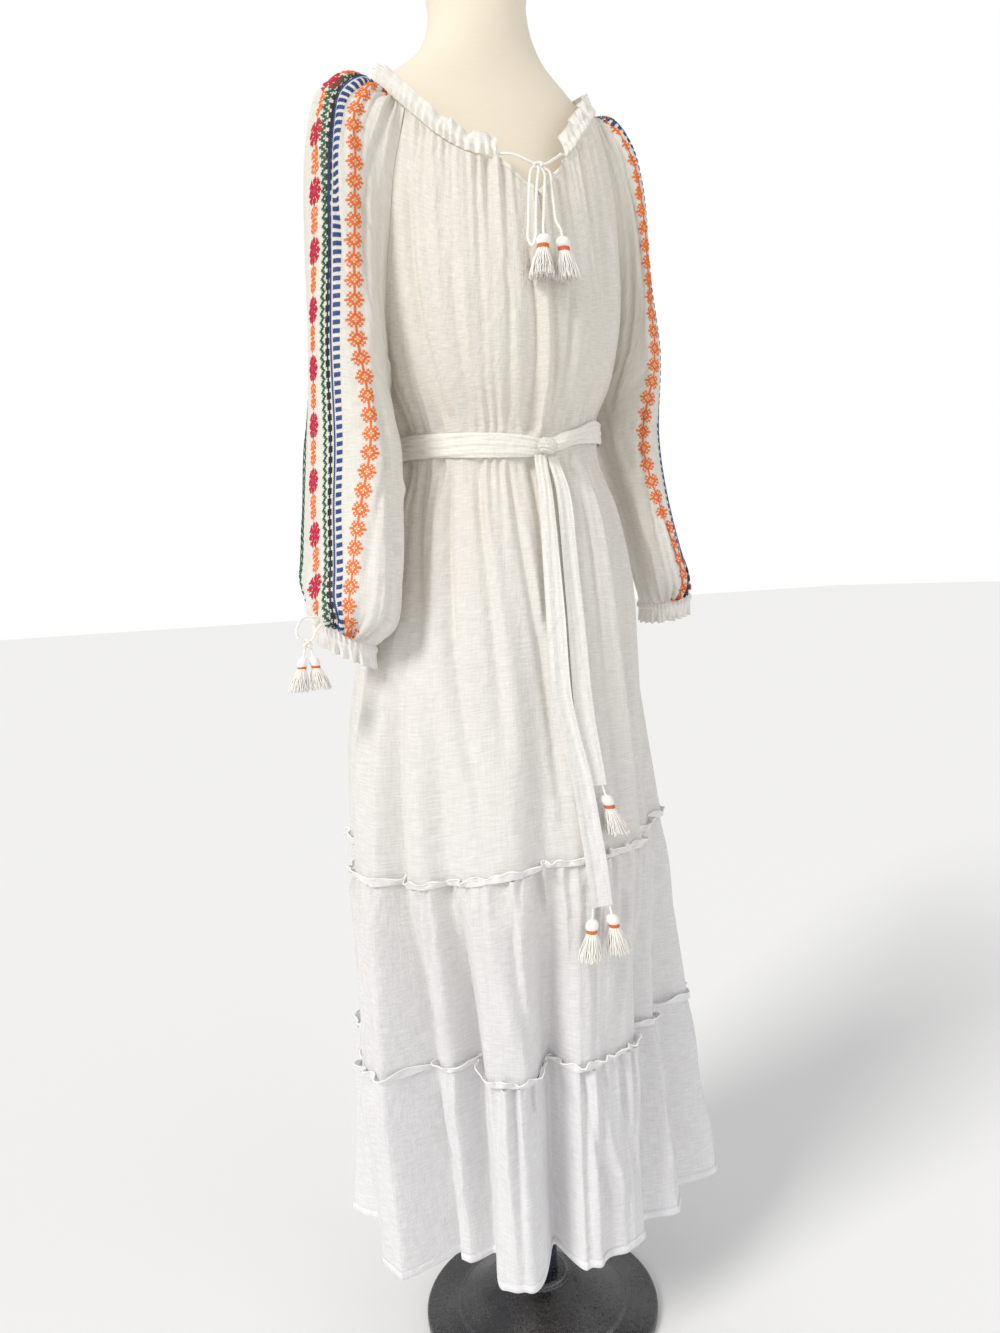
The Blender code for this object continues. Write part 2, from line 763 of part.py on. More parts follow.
def tail_grid(path):
    """A flat hanging end of the belt, with a shallow crease down its middle."""
    grid = []
    steps = 16 if path is LONG_TAIL else 12
    for i in range(steps + 1):
        height = path[0][0] + (path[-1][0] - path[0][0]) * i / steps
        bearing, half, out = (through(height, path, column) for column in (1, 2, 3))
        reach = max(cloth_reach(bearing + turn, height) for turn in (-5.0, -2.5, 0.0, 2.5, 5.0)) + out
        row = []
        for share in (-1.0, -0.35, 0.35, 1.0):
            turn = math.radians(bearing)
            side = np.array([math.cos(turn), math.sin(turn), 0.0]) * half * share
            front = np.array([reach * math.sin(turn), -reach * math.cos(turn), height])
            dent = 0.0012 * (abs(share) < 0.5)
            row.append(front + side + np.array([-math.sin(turn), math.cos(turn), 0.0]) * dent)
        grid.append(row)
    return grid


def below_tail(path, share):
    """The point a gap under the end of a belt tail, at a share of its width from its right edge."""
    first, last = tail_grid(path)[-1][0], tail_grid(path)[-1][-1]
    point = first + (last - first) * share
    return point + np.array([0.0, BELT_THICKNESS / 2, -1.5 * SEAM_GAP])


def make_belt():
    start = 0.5
    columns, grid = 48, []
    for rise in (0.5, 0.0, -0.5):
        row = []
        for j in range(columns + 1):
            angle = start + (360.0 - 2 * start) * j / columns
            height = belt_middle(angle) + rise * BELT_WIDTH
            reach = body_reach(angle, height) + 1.3 * WAIST_WAVE + 2 * LAYER_GAP + BELT_THICKNESS
            turn = math.radians(angle)
            row.append(np.array([reach * math.sin(turn), -reach * math.cos(turn), height]))
        grid.append(row)
    sheet_object("belt_band", grid, thickness=BELT_THICKNESS)
    rounded_solid("belt_knot", BELT_KNOT_AT, KNOT_HALF, -12.0, GAUZE)
    for name, path in (("belt_tail_long", LONG_TAIL), ("belt_tail_short", SHORT_TAIL)):
        sheet_object(name, tail_grid(path), thickness=BELT_THICKNESS)


# Drawstrings, by points along each between the casing and its tie: out, forward and up in metres
NECK_TIE_AT = (-0.0020, -0.1385, 1.4080)
NECK_TIE_RADIUS = 0.0055
NECK_CORD_RIGHT = (
    (-0.0335, -0.1288, 1.4208),
    (-0.0225, -0.1340, 1.4170),
    (-0.0128, -0.1376, 1.4120),
)
NECK_CORD_LEFT = (
    (0.0315, -0.1272, 1.4275),
    (0.0195, -0.1335, 1.4190),
    (0.0088, -0.1376, 1.4120),
)
NECK_LOOP = (
    (-0.0119, -0.1420, 1.4033),
    (-0.0165, -0.1440, 1.3900),
    (-0.0195, -0.1455, 1.3680),
    (-0.0225, -0.1480, 1.3440),
    (-0.0248, -0.1515, 1.3220),
    (-0.0225, -0.1548, 1.3165),
    (-0.0187, -0.1545, 1.3250),
    (-0.0155, -0.1520, 1.3460),
    (-0.0125, -0.1495, 1.3690),
    (-0.0088, -0.1475, 1.3900),
    (-0.0061, -0.1466, 1.4010),
)
NECK_END_RIGHT = (
    (0.0012, -0.1448, 1.3989),
    (-0.0005, -0.1480, 1.3850),
    (-0.0040, -0.1512, 1.3670),
    (-0.0072, -0.1545, 1.3480),
    (-0.0108, -0.1590, 1.3350),
    (-0.0112, -0.1600, 1.3290),
)
NECK_END_LEFT = (
    (0.0078, -0.1422, 1.4032),
    (0.0095, -0.1450, 1.3850),
    (0.0090, -0.1490, 1.3640),
    (0.0092, -0.1530, 1.3450),
    (0.0108, -0.1598, 1.3340),
    (0.0110, -0.1606, 1.3280),
)
CUFF_TIE_AT = (-0.2730, -0.0650, 0.9050)
CUFF_TIE_RADIUS = 0.0050
CUFF_CORD_OUTER = (
    (-0.2735, -0.0595, 0.9330),
    (-0.2810, -0.0632, 0.9260),
    (-0.2840, -0.0645, 0.9170),
    (-0.2812, -0.0650, 0.9105),
)
CUFF_CORD_INNER = (
    (-0.2600, -0.0752, 0.9240),
    (-0.2655, -0.0748, 0.9185),
    (-0.2674, -0.0722, 0.9120),
)


def seated(tie, radius, toward):
    """The point a gap outside a round tie, on the side that faces another point."""
    tie, toward = np.array(tie), np.array(toward)
    away = (toward - tie) / np.linalg.norm(toward - tie)
    return tuple(tie + away * (radius + SEAM_GAP))


def casing_end(side):
    """Where a neck cord leaves its casing: a gap beside the end of the frill, just above its seam."""
    end = side * (NECK_OPENING_ANGLE + 1.0)
    edge = cloth_point(end, neck_height(end) + 0.0038, -0.0008)
    turn = math.radians(end)
    along = np.array([math.cos(turn), math.sin(turn), 0.0]) * -side
    return tuple(edge + along * 2.4 * SEAM_GAP), tuple(edge + along * 0.004)


def cuff_exit(column):
    """Where a cuff cord leaves the casing of the right sleeve: a gap outside its wall, square to it."""
    grid = sleeve_grid(-1, RIGHT_SLEEVE, RIGHT_CUFF)
    above, ring = grid[-2], grid[-1]
    point = ring[column] + (above[column] - ring[column]) * 0.18
    across = ring[column + 1] - ring[column - 1]
    normal = np.cross(ring[column] - above[column], across)
    normal = normal / np.linalg.norm(normal)
    return tuple(point + normal * 1.5 * SEAM_GAP), tuple(point + normal * 0.005)


def smooth_route(points, spacing):
    """Points about a spacing apart on a smooth curve through a route."""
    points = np.array(points)
    steps = np.concatenate([[0.0], np.cumsum(np.linalg.norm(np.diff(points, axis=0), axis=1))])
    count = max(4, round(steps[-1] / spacing))
    tables = [tuple(zip(steps, points[:, axis])) for axis in range(3)]
    return [tuple(through(steps[-1] * i / count, table, 1) for table in tables) for i in range(count + 1)]


def make_cord(name, route):
    curve = bpy.data.curves.new(name, "CURVE")
    curve.dimensions = "3D"
    curve.bevel_depth = CORD_DIAMETER / 2
    curve.bevel_resolution = 2
    curve.use_fill_caps = True
    points = smooth_route(route, 2.6 * CORD_DIAMETER)
    spline = curve.splines.new("POLY")
    spline.points.add(len(points) - 1)
    for target, point in zip(spline.points, points):
        target.co = (*point, 1.0)
    curve.materials.append(STRING)
    obj = bpy.data.objects.new(name, curve)
    PARTS.objects.link(obj)
    return obj


STRANDS = 10


def make_tassel(name, top, string, head, spread, length, lean):
    """A bound head on a short string, with a skirt of strands that stand apart below the head.

    string is the string's length, head and spread are radii, and lean is how far the skirt's end lies
    from straight below the top, as reach out and forward."""
    body = bmesh.new()
    sides = 2 * STRANDS
    neck = 0.76 * head
    profile = [(0.0, 0.0010)] if string else []
    profile += [(string, 0.0020), (string + 0.0060, head), (string + 0.0120, neck), (string + 0.0160, 1.1 * neck)]
    start = profile[-1][0]
    profile.append((start, 0.5 * head))

    def axis_at(down):
        return top[0] + lean[0] * down / length, top[1] + lean[1] * down / length

    def ring_at(down, radius):
        x, y = axis_at(down)
        turns = [2 * math.pi * (j + 0.5) / sides for j in range(sides)]
        return [body.verts.new((x + radius * math.cos(t), y + radius * math.sin(t), top[2] - down)) for t in turns]

    rings = [ring_at(down, radius) for down, radius in profile]
    body.faces.new(list(reversed(rings[0])))
    body.faces.new(rings[-1])
    sectors = []
    for upper, lower in zip(rings, rings[1:]):
        sectors = []
        for j in range(sides):
            k = (j + 1) % sides
            sectors.append(body.faces.new((upper[j], upper[k], lower[k], lower[j])))
    bmesh.ops.recalc_face_normals(body, faces=body.faces)
    end_x, end_y = axis_at(length)
    root_x, root_y = axis_at(start)
    for face in sectors[::2]:
        strand = bmesh.ops.extrude_discrete_faces(body, faces=[face])["faces"][0]
        middle = strand.calc_center_median()
        away = np.array([middle[0] - root_x, middle[1] - root_y])
        target = away / np.linalg.norm(away) * (spread - 0.0022)
        for vertex in strand.verts:
            vertex.co[0] = end_x + target[0] + (vertex.co[0] - middle[0]) * 2.0
            vertex.co[1] = end_y + target[1] + (vertex.co[1] - middle[1]) * 2.0
            vertex.co[2] = top[2] - length
    mesh = bpy.data.meshes.new(name)
    body.to_mesh(mesh)
    body.free()
    return add_object(name, mesh, STRING)


# Tassels: string length, head radius, skirt radius, whole length, lean out and forward
TASSELS = {
    "neck_tassel_right": (0.0, 0.0074, 0.0135, 0.046, (-0.005, 0.000)),
    "neck_tassel_left": (0.0, 0.0074, 0.0135, 0.046, (0.005, 0.000)),
    "belt_tassel_long_right": (0.012, 0.0070, 0.0120, 0.056, (-0.006, 0.000)),
    "belt_tassel_long_left": (0.010, 0.0070, 0.0125, 0.054, (0.010, 0.000)),
    "belt_tassel_short": (0.011, 0.0070, 0.0120, 0.054, (0.014, -0.007)),
    "cuff_tassel_outer": (0.010, 0.0054, 0.0100, 0.046, (-0.009, 0.001)),
    "cuff_tassel_inner": (0.010, 0.0054, 0.0100, 0.046, (0.009, -0.001)),
}


def tassel_tops():
    """The top of each tassel's string, a gap under the cord end, the belt end or the tie that it hangs on."""
    under = np.array([0.0, 0.0, -SEAM_GAP])
    tie = np.array(CUFF_TIE_AT)
    beside = 0.0034
    below = math.sqrt((CUFF_TIE_RADIUS + SEAM_GAP) ** 2 - (beside - 0.001) ** 2)
    return {
        "neck_tassel_right": np.array(NECK_END_RIGHT[-1]) + 2 * under,
        "neck_tassel_left": np.array(NECK_END_LEFT[-1]) + 2 * under,
        "belt_tassel_long_right": below_tail(LONG_TAIL, 0.10),
        "belt_tassel_long_left": below_tail(LONG_TAIL, 0.90),
        "belt_tassel_short": below_tail(SHORT_TAIL, 0.80),
        "cuff_tassel_outer": tie + np.array([-beside, 0.0, -below]),
        "cuff_tassel_inner": tie + np.array([beside, 0.0, -below]),
    }


def make_drawstrings():
    rounded_solid("neck_tie", NECK_TIE_AT, (NECK_TIE_RADIUS,) * 3, 0.0, STRING)
    for name, side, route in (("neck_cord_right", -1, NECK_CORD_RIGHT), ("neck_cord_left", 1, NECK_CORD_LEFT)):
        make_cord(name, casing_end(side) + route + (seated(NECK_TIE_AT, NECK_TIE_RADIUS, route[-1]),))
    first = seated(NECK_TIE_AT, NECK_TIE_RADIUS, NECK_LOOP[0])
    make_cord("neck_loop", (first,) + NECK_LOOP + (seated(NECK_TIE_AT, NECK_TIE_RADIUS, NECK_LOOP[-1]),))
    for name, route in (("neck_end_right", NECK_END_RIGHT), ("neck_end_left", NECK_END_LEFT)):
        make_cord(name, (seated(NECK_TIE_AT, NECK_TIE_RADIUS, route[0]),) + route)
    rounded_solid("cuff_tie", CUFF_TIE_AT, (CUFF_TIE_RADIUS,) * 3, 0.0, STRING)
    for name, column, route in (("cuff_cord_outer", 14, CUFF_CORD_OUTER), ("cuff_cord_inner", 15, CUFF_CORD_INNER)):
        make_cord(name, cuff_exit(column) + route + (seated(CUFF_TIE_AT, CUFF_TIE_RADIUS, route[-1]),))
    for name, top in tassel_tops().items():
        make_tassel(name, top, *TASSELS[name])


make_form()
make_stand()
make_panels()
make_sleeve("sleeve_right", -1, RIGHT_SLEEVE, RIGHT_CUFF)
make_sleeve("sleeve_left", 1, LEFT_SLEEVE, LEFT_CUFF)
make_cuff_frill("cuff_frill_right", -1, RIGHT_CUFF)
make_cuff_frill("cuff_frill_left", 1, LEFT_CUFF)
make_neck_frill()
make_skirt()
make_belt()
make_drawstrings()
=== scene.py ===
"""Looks of a peasant dress in thin cotton gauze, on a dress form with a round metal stand.

Metres, +Z up. The wearer faces -Y, and the wearer's right is at -X. Angles run round the body in degrees,
0 at the centre front and +90 at the wearer's left.
"""

import math

import bpy
import numpy as np
from mathutils import Matrix, Vector


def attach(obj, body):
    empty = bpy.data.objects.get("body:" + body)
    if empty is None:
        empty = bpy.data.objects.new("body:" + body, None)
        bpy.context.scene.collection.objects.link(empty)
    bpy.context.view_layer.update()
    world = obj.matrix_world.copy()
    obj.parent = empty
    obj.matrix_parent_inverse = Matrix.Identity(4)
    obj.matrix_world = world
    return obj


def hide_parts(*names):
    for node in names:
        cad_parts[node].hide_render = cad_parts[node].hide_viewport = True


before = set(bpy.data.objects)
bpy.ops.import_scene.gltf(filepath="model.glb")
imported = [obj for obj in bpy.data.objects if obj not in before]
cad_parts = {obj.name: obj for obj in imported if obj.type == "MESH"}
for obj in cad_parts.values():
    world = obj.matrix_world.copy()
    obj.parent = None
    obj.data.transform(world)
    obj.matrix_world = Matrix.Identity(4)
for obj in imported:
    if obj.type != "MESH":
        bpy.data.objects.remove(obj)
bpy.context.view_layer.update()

# Camera
# A phone held at hip height in front of the wearer's right side, tipped down a little and turned by three
# degrees. The dress fills the frame from the neck to the stand.
BEARING, DIP, ROLL = (math.radians(angle) for angle in (-25.5, 4.976, 3.0))
back = Vector((math.sin(BEARING) * math.cos(DIP), -math.cos(BEARING) * math.cos(DIP), math.sin(DIP)))
right = Vector((math.cos(BEARING), math.sin(BEARING), 0.0))
up = back.cross(right)
axes = (right * math.cos(ROLL) - up * math.sin(ROLL), right * math.sin(ROLL) + up * math.cos(ROLL), back)
lens = bpy.data.cameras.new("camera")
lens.sensor_fit = "VERTICAL"
lens.sensor_height = 36.0
lens.lens = lens.sensor_height * 1000 / 1333
camera = bpy.data.objects.new("camera", lens)
camera.matrix_world = Matrix(axes).transposed().to_4x4()
camera.location = (-0.551, -1.1271, 0.9636)
bpy.context.scene.collection.objects.link(camera)
bpy.context.scene.camera = camera


# Drawstrings
# Soft two-ply cotton cord drawn through the neck casing and the right cuff casing, tied in a knot, each end
# finished with a tassel of white yarn bound with rust thread.
CORD_DIAMETER = 0.0032
PLY_TURN = 0.0075
SMOOTHING_PASSES = 24


def ease(share):
    share = np.clip(share, 0.0, 1.0)
    return share * share * (3.0 - 2.0 * share)


def between(t, width, first, last, first_slope, last_slope):
    """A smooth value a share t of the way from one to the next, by their values and slopes."""
    value = (1 + 2 * t) * (1 - t) ** 2 * first + t * (1 - t) ** 2 * width * first_slope
    return value + t * t * (3 - 2 * t) * last + t * t * (t - 1) * width * last_slope


def distances(line):
    """How far along a line each of its points is."""
    return np.concatenate([[0.0], np.cumsum(np.linalg.norm(np.diff(line, axis=0), axis=1))])


def unit(vectors):
    """The vectors at length one, or nothing where they have no length."""
    return vectors / np.maximum(np.linalg.norm(vectors, axis=-1)[..., None], 1e-9)


def through(x, table, column):
    """Smooth values at x, through one column of a table whose first column is x."""
    rows = np.array(sorted(table), float)
    xs, ys = rows[:, 0], rows[:, column]
    slopes = np.gradient(ys, xs)
    x = np.clip(x, xs[0], xs[-1])
    i = np.clip(np.searchsorted(xs, x, side="right") - 1, 0, len(xs) - 2)
    width = xs[i + 1] - xs[i]
    return between((x - xs[i]) / width, width, ys[i], ys[i + 1], slopes[i], slopes[i + 1])


def smooth_route(points, count):
    """Points evenly spaced on a smooth curve through a route."""
    points = np.array(points, float)
    steps = distances(points)
    at = np.linspace(0.0, steps[-1], count)
    line = np.stack([through(at, list(zip(steps, points[:, axis])), 1) for axis in range(3)], axis=1)
    for _ in range(SMOOTHING_PASSES):
        line[1:-1] = (line[:-2] + 2 * line[1:-1] + line[2:]) / 4
    return line


def add_mesh(name, points, faces, material, uvs=None):
    """A smooth-shaded piece that rides on the part. uvs are metres over the cloth, one pair a point."""
    mesh = bpy.data.meshes.new(name)
    mesh.from_pydata(np.asarray(points, float).tolist(), [], faces)
    mesh.materials.append(material)
    if uvs is not None:
        corners = np.array([v for face in faces for v in face])
        layer = mesh.uv_layers.new(name="cloth")
        layer.data.foreach_set("uv", np.asarray(uvs, np.float32)[corners].ravel())
    mesh.shade_smooth()
    obj = bpy.data.objects.new(name, mesh)
    bpy.context.scene.collection.objects.link(obj)
    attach(obj, "root")
    return obj


def grid_faces(rows, columns, closed=False, start=0):
    """Quads over a grid of points, with the last column joined to the first where it is closed."""
    faces = []
    for i in range(rows - 1):
        for j in range(columns if closed else columns - 1):
            k = (j + 1) % columns
            a, b = start + i * columns, start + (i + 1) * columns
            faces.append((a + j, b + j, b + k, a + k))
    return faces


def tube_points(route, radius_at, sides):
    """Rings of points square to a route. radius_at takes the ring's number, its distance and the turns."""
    route = np.asarray(route, float)
    tangents = unit(np.gradient(route, axis=0))
    side = np.cross(tangents[0], (0.31, 0.92, 0.24))
    turns = np.linspace(0, 2 * math.pi, sides, endpoint=False)
    travelled = distances(route)
    rings = []
    for i, (point, along) in enumerate(zip(route, tangents)):
        side = side - along * np.dot(side, along)
        side /= np.linalg.norm(side)
        other = np.cross(along, side)
        radius = radius_at(i, travelled[i], turns) * np.ones(sides)
        rings.append(point + side * (np.cos(turns) * radius)[:, None]
                     + other * (np.sin(turns) * radius)[:, None])
    return np.concatenate(rings)


def tube(name, route, radius_at, sides, material):
    points = tube_points(route, radius_at, sides)
    rings = len(points) // sides
    faces = grid_faces(rings, sides, closed=True)
    faces += [tuple(range(sides))[::-1], tuple((rings - 1) * sides + j for j in range(sides))]
    return add_mesh(name, points, [face[::-1] for face in faces], material)


def two_ply(i, travelled, turns):
    """The outline of two strands laid round each other."""
    twist = turns - 2 * math.pi * travelled / PLY_TURN
    return CORD_DIAMETER / 2 * (0.66 + 0.36 * np.abs(np.cos(twist)) ** 1.4)


def shader(name, colour, roughness, **sockets):
    """A material with its Principled shader, whose plain sockets are set by name."""
    material = bpy.data.materials.new(name)
    material.use_nodes = True
    main = material.node_tree.nodes["Principled BSDF"]
    main.inputs["Base Color"].default_value = (*colour, 1.0)
    main.inputs["Roughness"].default_value = roughness
    for socket, value in sockets.items():
        main.inputs[socket.replace("_", " ")].default_value = value
    return material


def node(tree, kind, **values):
    """A new shader node, with its inputs set by name."""
    made = tree.nodes.new(kind)
    for name, value in values.items():
        made.inputs[name.replace("_", " ")].default_value = value
    return made


def connect(tree, *links):
    """Joins nodes. Each link names a node, its output, the next node and its input."""
    for start, output, end, entry in links:
        tree.links.new(start.outputs[output], end.inputs[entry])


def new_group(name, inputs, outputs):
    """An empty node group with its sockets, and its input and output nodes."""
    group = bpy.data.node_groups.new(name, "ShaderNodeTree")
    for in_out, sockets in (("INPUT", inputs), ("OUTPUT", outputs)):
        for socket, kind in sockets:
            group.interface.new_socket(socket, in_out=in_out, socket_type="NodeSocket" + kind)
    return group, group.nodes.new("NodeGroupInput"), group.nodes.new("NodeGroupOutput")


def colour_mix(tree, first=None, second=None):
    """A node that mixes two colours."""
    made = tree.nodes.new("ShaderNodeMix")
    made.data_type = "RGBA"
    for socket, colour in (("A", first), ("B", second)):
        if colour:
            made.inputs[socket].default_value = (*colour, 1.0)
    return made


def fibre_group():
    """Fine fibres along a thread or over knitted cloth: a colour varied by noise and a height."""
    group, inside, outside = new_group(
        "Fibres", (("Colour", "Color"), ("Dark", "Color"), ("Scale", "Float"), ("Stretch", "Vector"),
                   ("Contrast", "Float")), (("Colour", "Color"), ("Height", "Float")))
    place, stretch = node(group, "ShaderNodeTexCoord"), node(group, "ShaderNodeVectorMath")
    grain, mix, amount = (node(group, "ShaderNodeTexNoise", Detail=5.0), colour_mix(group),
                          node(group, "ShaderNodeMath"))
    stretch.operation = amount.operation = "MULTIPLY"
    connect(group, (place, "Object", stretch, 0), (inside, "Stretch", stretch, 1),
            (stretch, 0, grain, "Vector"), (inside, "Scale", grain, "Scale"), (grain, "Fac", amount, 0),
            (inside, "Contrast", amount, 1), (amount, 0, mix, "Factor"), (inside, "Colour", mix, "A"),
            (inside, "Dark", mix, "B"), (mix, "Result", outside, "Colour"),
            (grain, "Fac", outside, "Height"))
    return group


FIBRES = fibre_group()


def fibrous(name, colour, dark, scale, stretch, contrast, roughness, bump, **sockets):
    """A material of fibres: yarn, thread or knitted cloth."""
    material = shader(name, colour, roughness, **sockets)
    tree = material.node_tree
    main, fibres = tree.nodes["Principled BSDF"], tree.nodes.new("ShaderNodeGroup")
    fibres.node_tree = FIBRES
    for socket, value in (("Colour", (*colour, 1.0)), ("Dark", (*dark, 1.0)), ("Scale", scale),
                          ("Stretch", stretch), ("Contrast", contrast)):
        fibres.inputs[socket].default_value = value
    relief = node(tree, "ShaderNodeBump", Strength=bump, Distance=0.0006)
    connect(tree, (fibres, "Colour", main, "Base Color"), (fibres, "Height", relief, "Height"),
            (relief, "Normal", main, "Normal"))
    return material


YARN = fibrous("cotton_yarn", (0.95, 0.93, 0.88), (0.88, 0.84, 0.77), 900.0, (1, 1, 0.35), 0.55, 0.85, 0.5,
               Sheen_Weight=0.2)
RUST = fibrous("rust_thread", (0.80, 0.20, 0.05), (0.50, 0.10, 0.03), 900.0, (1, 1, 3), 0.6, 0.7, 0.5)


def trefoil(name, centre, radius, turn):
    """An overhand knot, as a thick strand that crosses itself three times."""
    t = np.linspace(0, 2 * math.pi, 72)
    loop = np.stack([np.sin(t) + 2 * np.sin(2 * t), -np.sin(3 * t) * 0.9, np.cos(t) - 2 * np.cos(2 * t)],
                    axis=1)
    loop *= (radius - 0.0016) / 3.0
    c, s = math.cos(turn), math.sin(turn)
    loop = np.stack([loop[:, 0] * c - loop[:, 2] * s, loop[:, 1], loop[:, 0] * s + loop[:, 2] * c], axis=1)
    return tube(name, loop + np.array(centre),
                lambda i, d, turns: 0.0016 + 0.0003 * np.cos(2 * turns - 900 * d), 10, YARN)


def tassel(name, top, string, head, spread, length, lean, seed, wrap_at=0.0125):
    """A yarn tassel: its string, bound head, rust wrap and a skirt of threads cut level at the end."""
    rng = np.random.default_rng(seed)
    spread = 1.15 * spread
    top, lean = np.array(top, float), np.array([*lean, 0.0])
    down = np.array([0.0, 0.0, -1.0])

    def axis_at(depth):
        return top + down * depth + lean * depth / length

    points, faces = [], []
    profile = [(0.0, 0.0012), (string, 0.0014)] if string else []
    for k in range(9):
        turn = math.pi * (0.06 + 0.76 * k / 8)
        profile.append((string + 0.0066 * (1 - math.cos(turn)), head * math.sin(turn) ** 0.72))
    profile += [(string + wrap_at + 0.003, 0.64 * head), (string + wrap_at + 0.004, 0.3 * head)]
    sides = 28
    turns = np.linspace(0, 2 * math.pi, sides, endpoint=False)
    for depth, radius in profile:
        ribbed = radius * (1 + 0.035 * np.cos(14 * turns + 5 * depth / head))
        ring = axis_at(depth) + np.stack([ribbed * np.cos(turns), ribbed * np.sin(turns), 0 * turns], axis=1)
        points += list(ring)
    faces += grid_faces(len(profile), sides, closed=True)
    faces += [tuple(range(sides))]
    threads = 120
    for k in range(threads):
        turn = 2.4 * k
        share = math.sqrt((k + 0.5) / threads)
        away = np.array([math.cos(turn), math.sin(turn), 0.0])
        ending = length * (0.97 + 0.05 * rng.random())
        bow = 0.16 + 0.2 * rng.random()
        route = []
        for step in range(6):
            part = step / 5
            radius = (0.58 * head * (1 - part) + spread * (part + bow * part * (1 - part))) * share
            sway = 0.0007 * rng.normal(size=3) * part
            depth = string + wrap_at + (ending - string - wrap_at) * part
            route.append(axis_at(depth) + away * radius + sway)
        base = len(points)
        points += list(tube_points(route, lambda i, d, turns: 0.0008 - 0.00005 * i, 4))
        faces += [face[::-1] for face in grid_faces(6, 4, closed=True, start=base)]
    made = add_mesh(name + "_yarn", points, faces, YARN)
    coil = []
    for k in range(97):
        turn = 2 * math.pi * k / 24
        radius = 0.70 * head + 0.0002
        coil.append(axis_at(string + wrap_at - 0.0022 + 0.0042 * k / 96)
                    + radius * np.array([math.cos(turn), math.sin(turn), 0.0]))
    wrap = tube(name + "_wrap", coil, lambda i, d, turns: 0.00085, 6, RUST)
    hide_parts(name)
    return made, wrap


# Routes of the cords, from the casing or the tie to the end
CORDS = {
    "neck_cord_right": ((-0.0414, -0.1222, 1.4220), (-0.0382, -0.1234, 1.4220), (-0.0335, -0.1288, 1.4208),
                        (-0.0225, -0.1340, 1.4170), (-0.0128, -0.1376, 1.4120), (-0.0074, -0.1380, 1.4100)),
    "neck_cord_left": ((0.0406, -0.1199, 1.4322), (0.0374, -0.1210, 1.4322), (0.0315, -0.1272, 1.4275),
                       (0.0195, -0.1335, 1.4190), (0.0088, -0.1376, 1.4120), (0.0034, -0.1380, 1.4100)),
    "neck_loop": ((-0.0070, -0.1403, 1.4056), (-0.0119, -0.1420, 1.4033), (-0.0165, -0.1440, 1.3900),
                  (-0.0195, -0.1455, 1.3680), (-0.0225, -0.1480, 1.3440), (-0.0248, -0.1515, 1.3220),
                  (-0.0225, -0.1548, 1.3165), (-0.0187, -0.1545, 1.3250), (-0.0155, -0.1520, 1.3460),
                  (-0.0125, -0.1495, 1.3690), (-0.0088, -0.1475, 1.3900), (-0.0061, -0.1466, 1.4010),
                  (-0.0041, -0.1426, 1.4045)),
    "neck_end_right": ((-0.0004, -0.1417, 1.4034), (0.0012, -0.1448, 1.3989), (-0.0005, -0.1480, 1.3850),
                       (-0.0040, -0.1512, 1.3670), (-0.0072, -0.1545, 1.3480), (-0.0108, -0.1590, 1.3350),
                       (-0.0112, -0.1600, 1.3290)),
    "neck_end_left": ((0.0029, -0.1404, 1.4056), (0.0078, -0.1422, 1.4032), (0.0095, -0.1450, 1.3850),
                      (0.0090, -0.1490, 1.3640), (0.0092, -0.1530, 1.3450), (0.0108, -0.1598, 1.3340),
                      (0.0110, -0.1606, 1.3280)),
    "cuff_cord_outer": ((-0.2560, -0.0575, 0.9322), (-0.2600, -0.0594, 0.9327), (-0.2735, -0.0595, 0.9330),
                        (-0.2810, -0.0632, 0.9260), (-0.2840, -0.0645, 0.9170), (-0.2812, -0.0650, 0.9105),
                        (-0.2774, -0.0650, 0.9080)),
    "cuff_cord_inner": ((-0.2489, -0.0695, 0.9262), (-0.2522, -0.0725, 0.9260), (-0.2600, -0.0752, 0.9240),
                        (-0.2655, -0.0748, 0.9185), (-0.2674, -0.0722, 0.9120), (-0.2704, -0.0683, 0.9082)),
}
cords = {}
for name, route in CORDS.items():
    line = smooth_route(route, 20 * len(route))
    cords[name] = tube(name + "_rope", line, two_ply, 14, YARN), line
    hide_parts(name)
neck_knot = trefoil("neck_knot", (-0.0020, -0.1385, 1.4080), 0.0064, 0.4)
cuff_knot = trefoil("cuff_knot", (-0.2730, -0.0650, 0.9050), 0.0058, 1.3)
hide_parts("neck_tie")
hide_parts("cuff_tie")
TASSEL_LENGTH = 0.045
# Top, string, radii of the head and the skirt, lean, seed of its threads, and the wrap's distance down
TASSELS = {
    "neck_tassel_right": ((-0.0112, -0.1600, 1.3286), 0.0, 0.0078, 0.0130, (-0.005, 0.0), 11, 0.0125),
    "neck_tassel_left": ((0.0110, -0.1606, 1.3276), 0.0, 0.0078, 0.0130, (0.005, 0.0), 12, 0.0125),
    "cuff_tassel_outer": ((-0.2764, -0.065, 0.9003), 0.009, 0.0056, 0.0100, (-0.009, 0.001), 13, 0.0105),
    "cuff_tassel_inner": ((-0.2696, -0.065, 0.9003), 0.009, 0.0056, 0.0100, (0.009, -0.001), 14, 0.0105),
}
hung = {name: tassel(name, top, string, head, spread, TASSEL_LENGTH, lean, seed, wrap_at)
        for name, (top, string, head, spread, lean, seed, wrap_at) in TASSELS.items()}
for name, far_end, carried in (
    ("neck_cord_right", "knot", (neck_knot,)),
    ("neck_cord_left", "knot", ()),
    ("neck_loop", "knot", ()),
    ("neck_end_right", "fitting", hung["neck_tassel_right"]),
    ("neck_end_left", "fitting", hung["neck_tassel_left"]),
    ("cuff_cord_outer", "fitting", (cuff_knot, *hung["cuff_tassel_outer"], *hung["cuff_tassel_inner"])),
    ("cuff_cord_inner", "knot", ()),
):
    rope, line = cords[name]


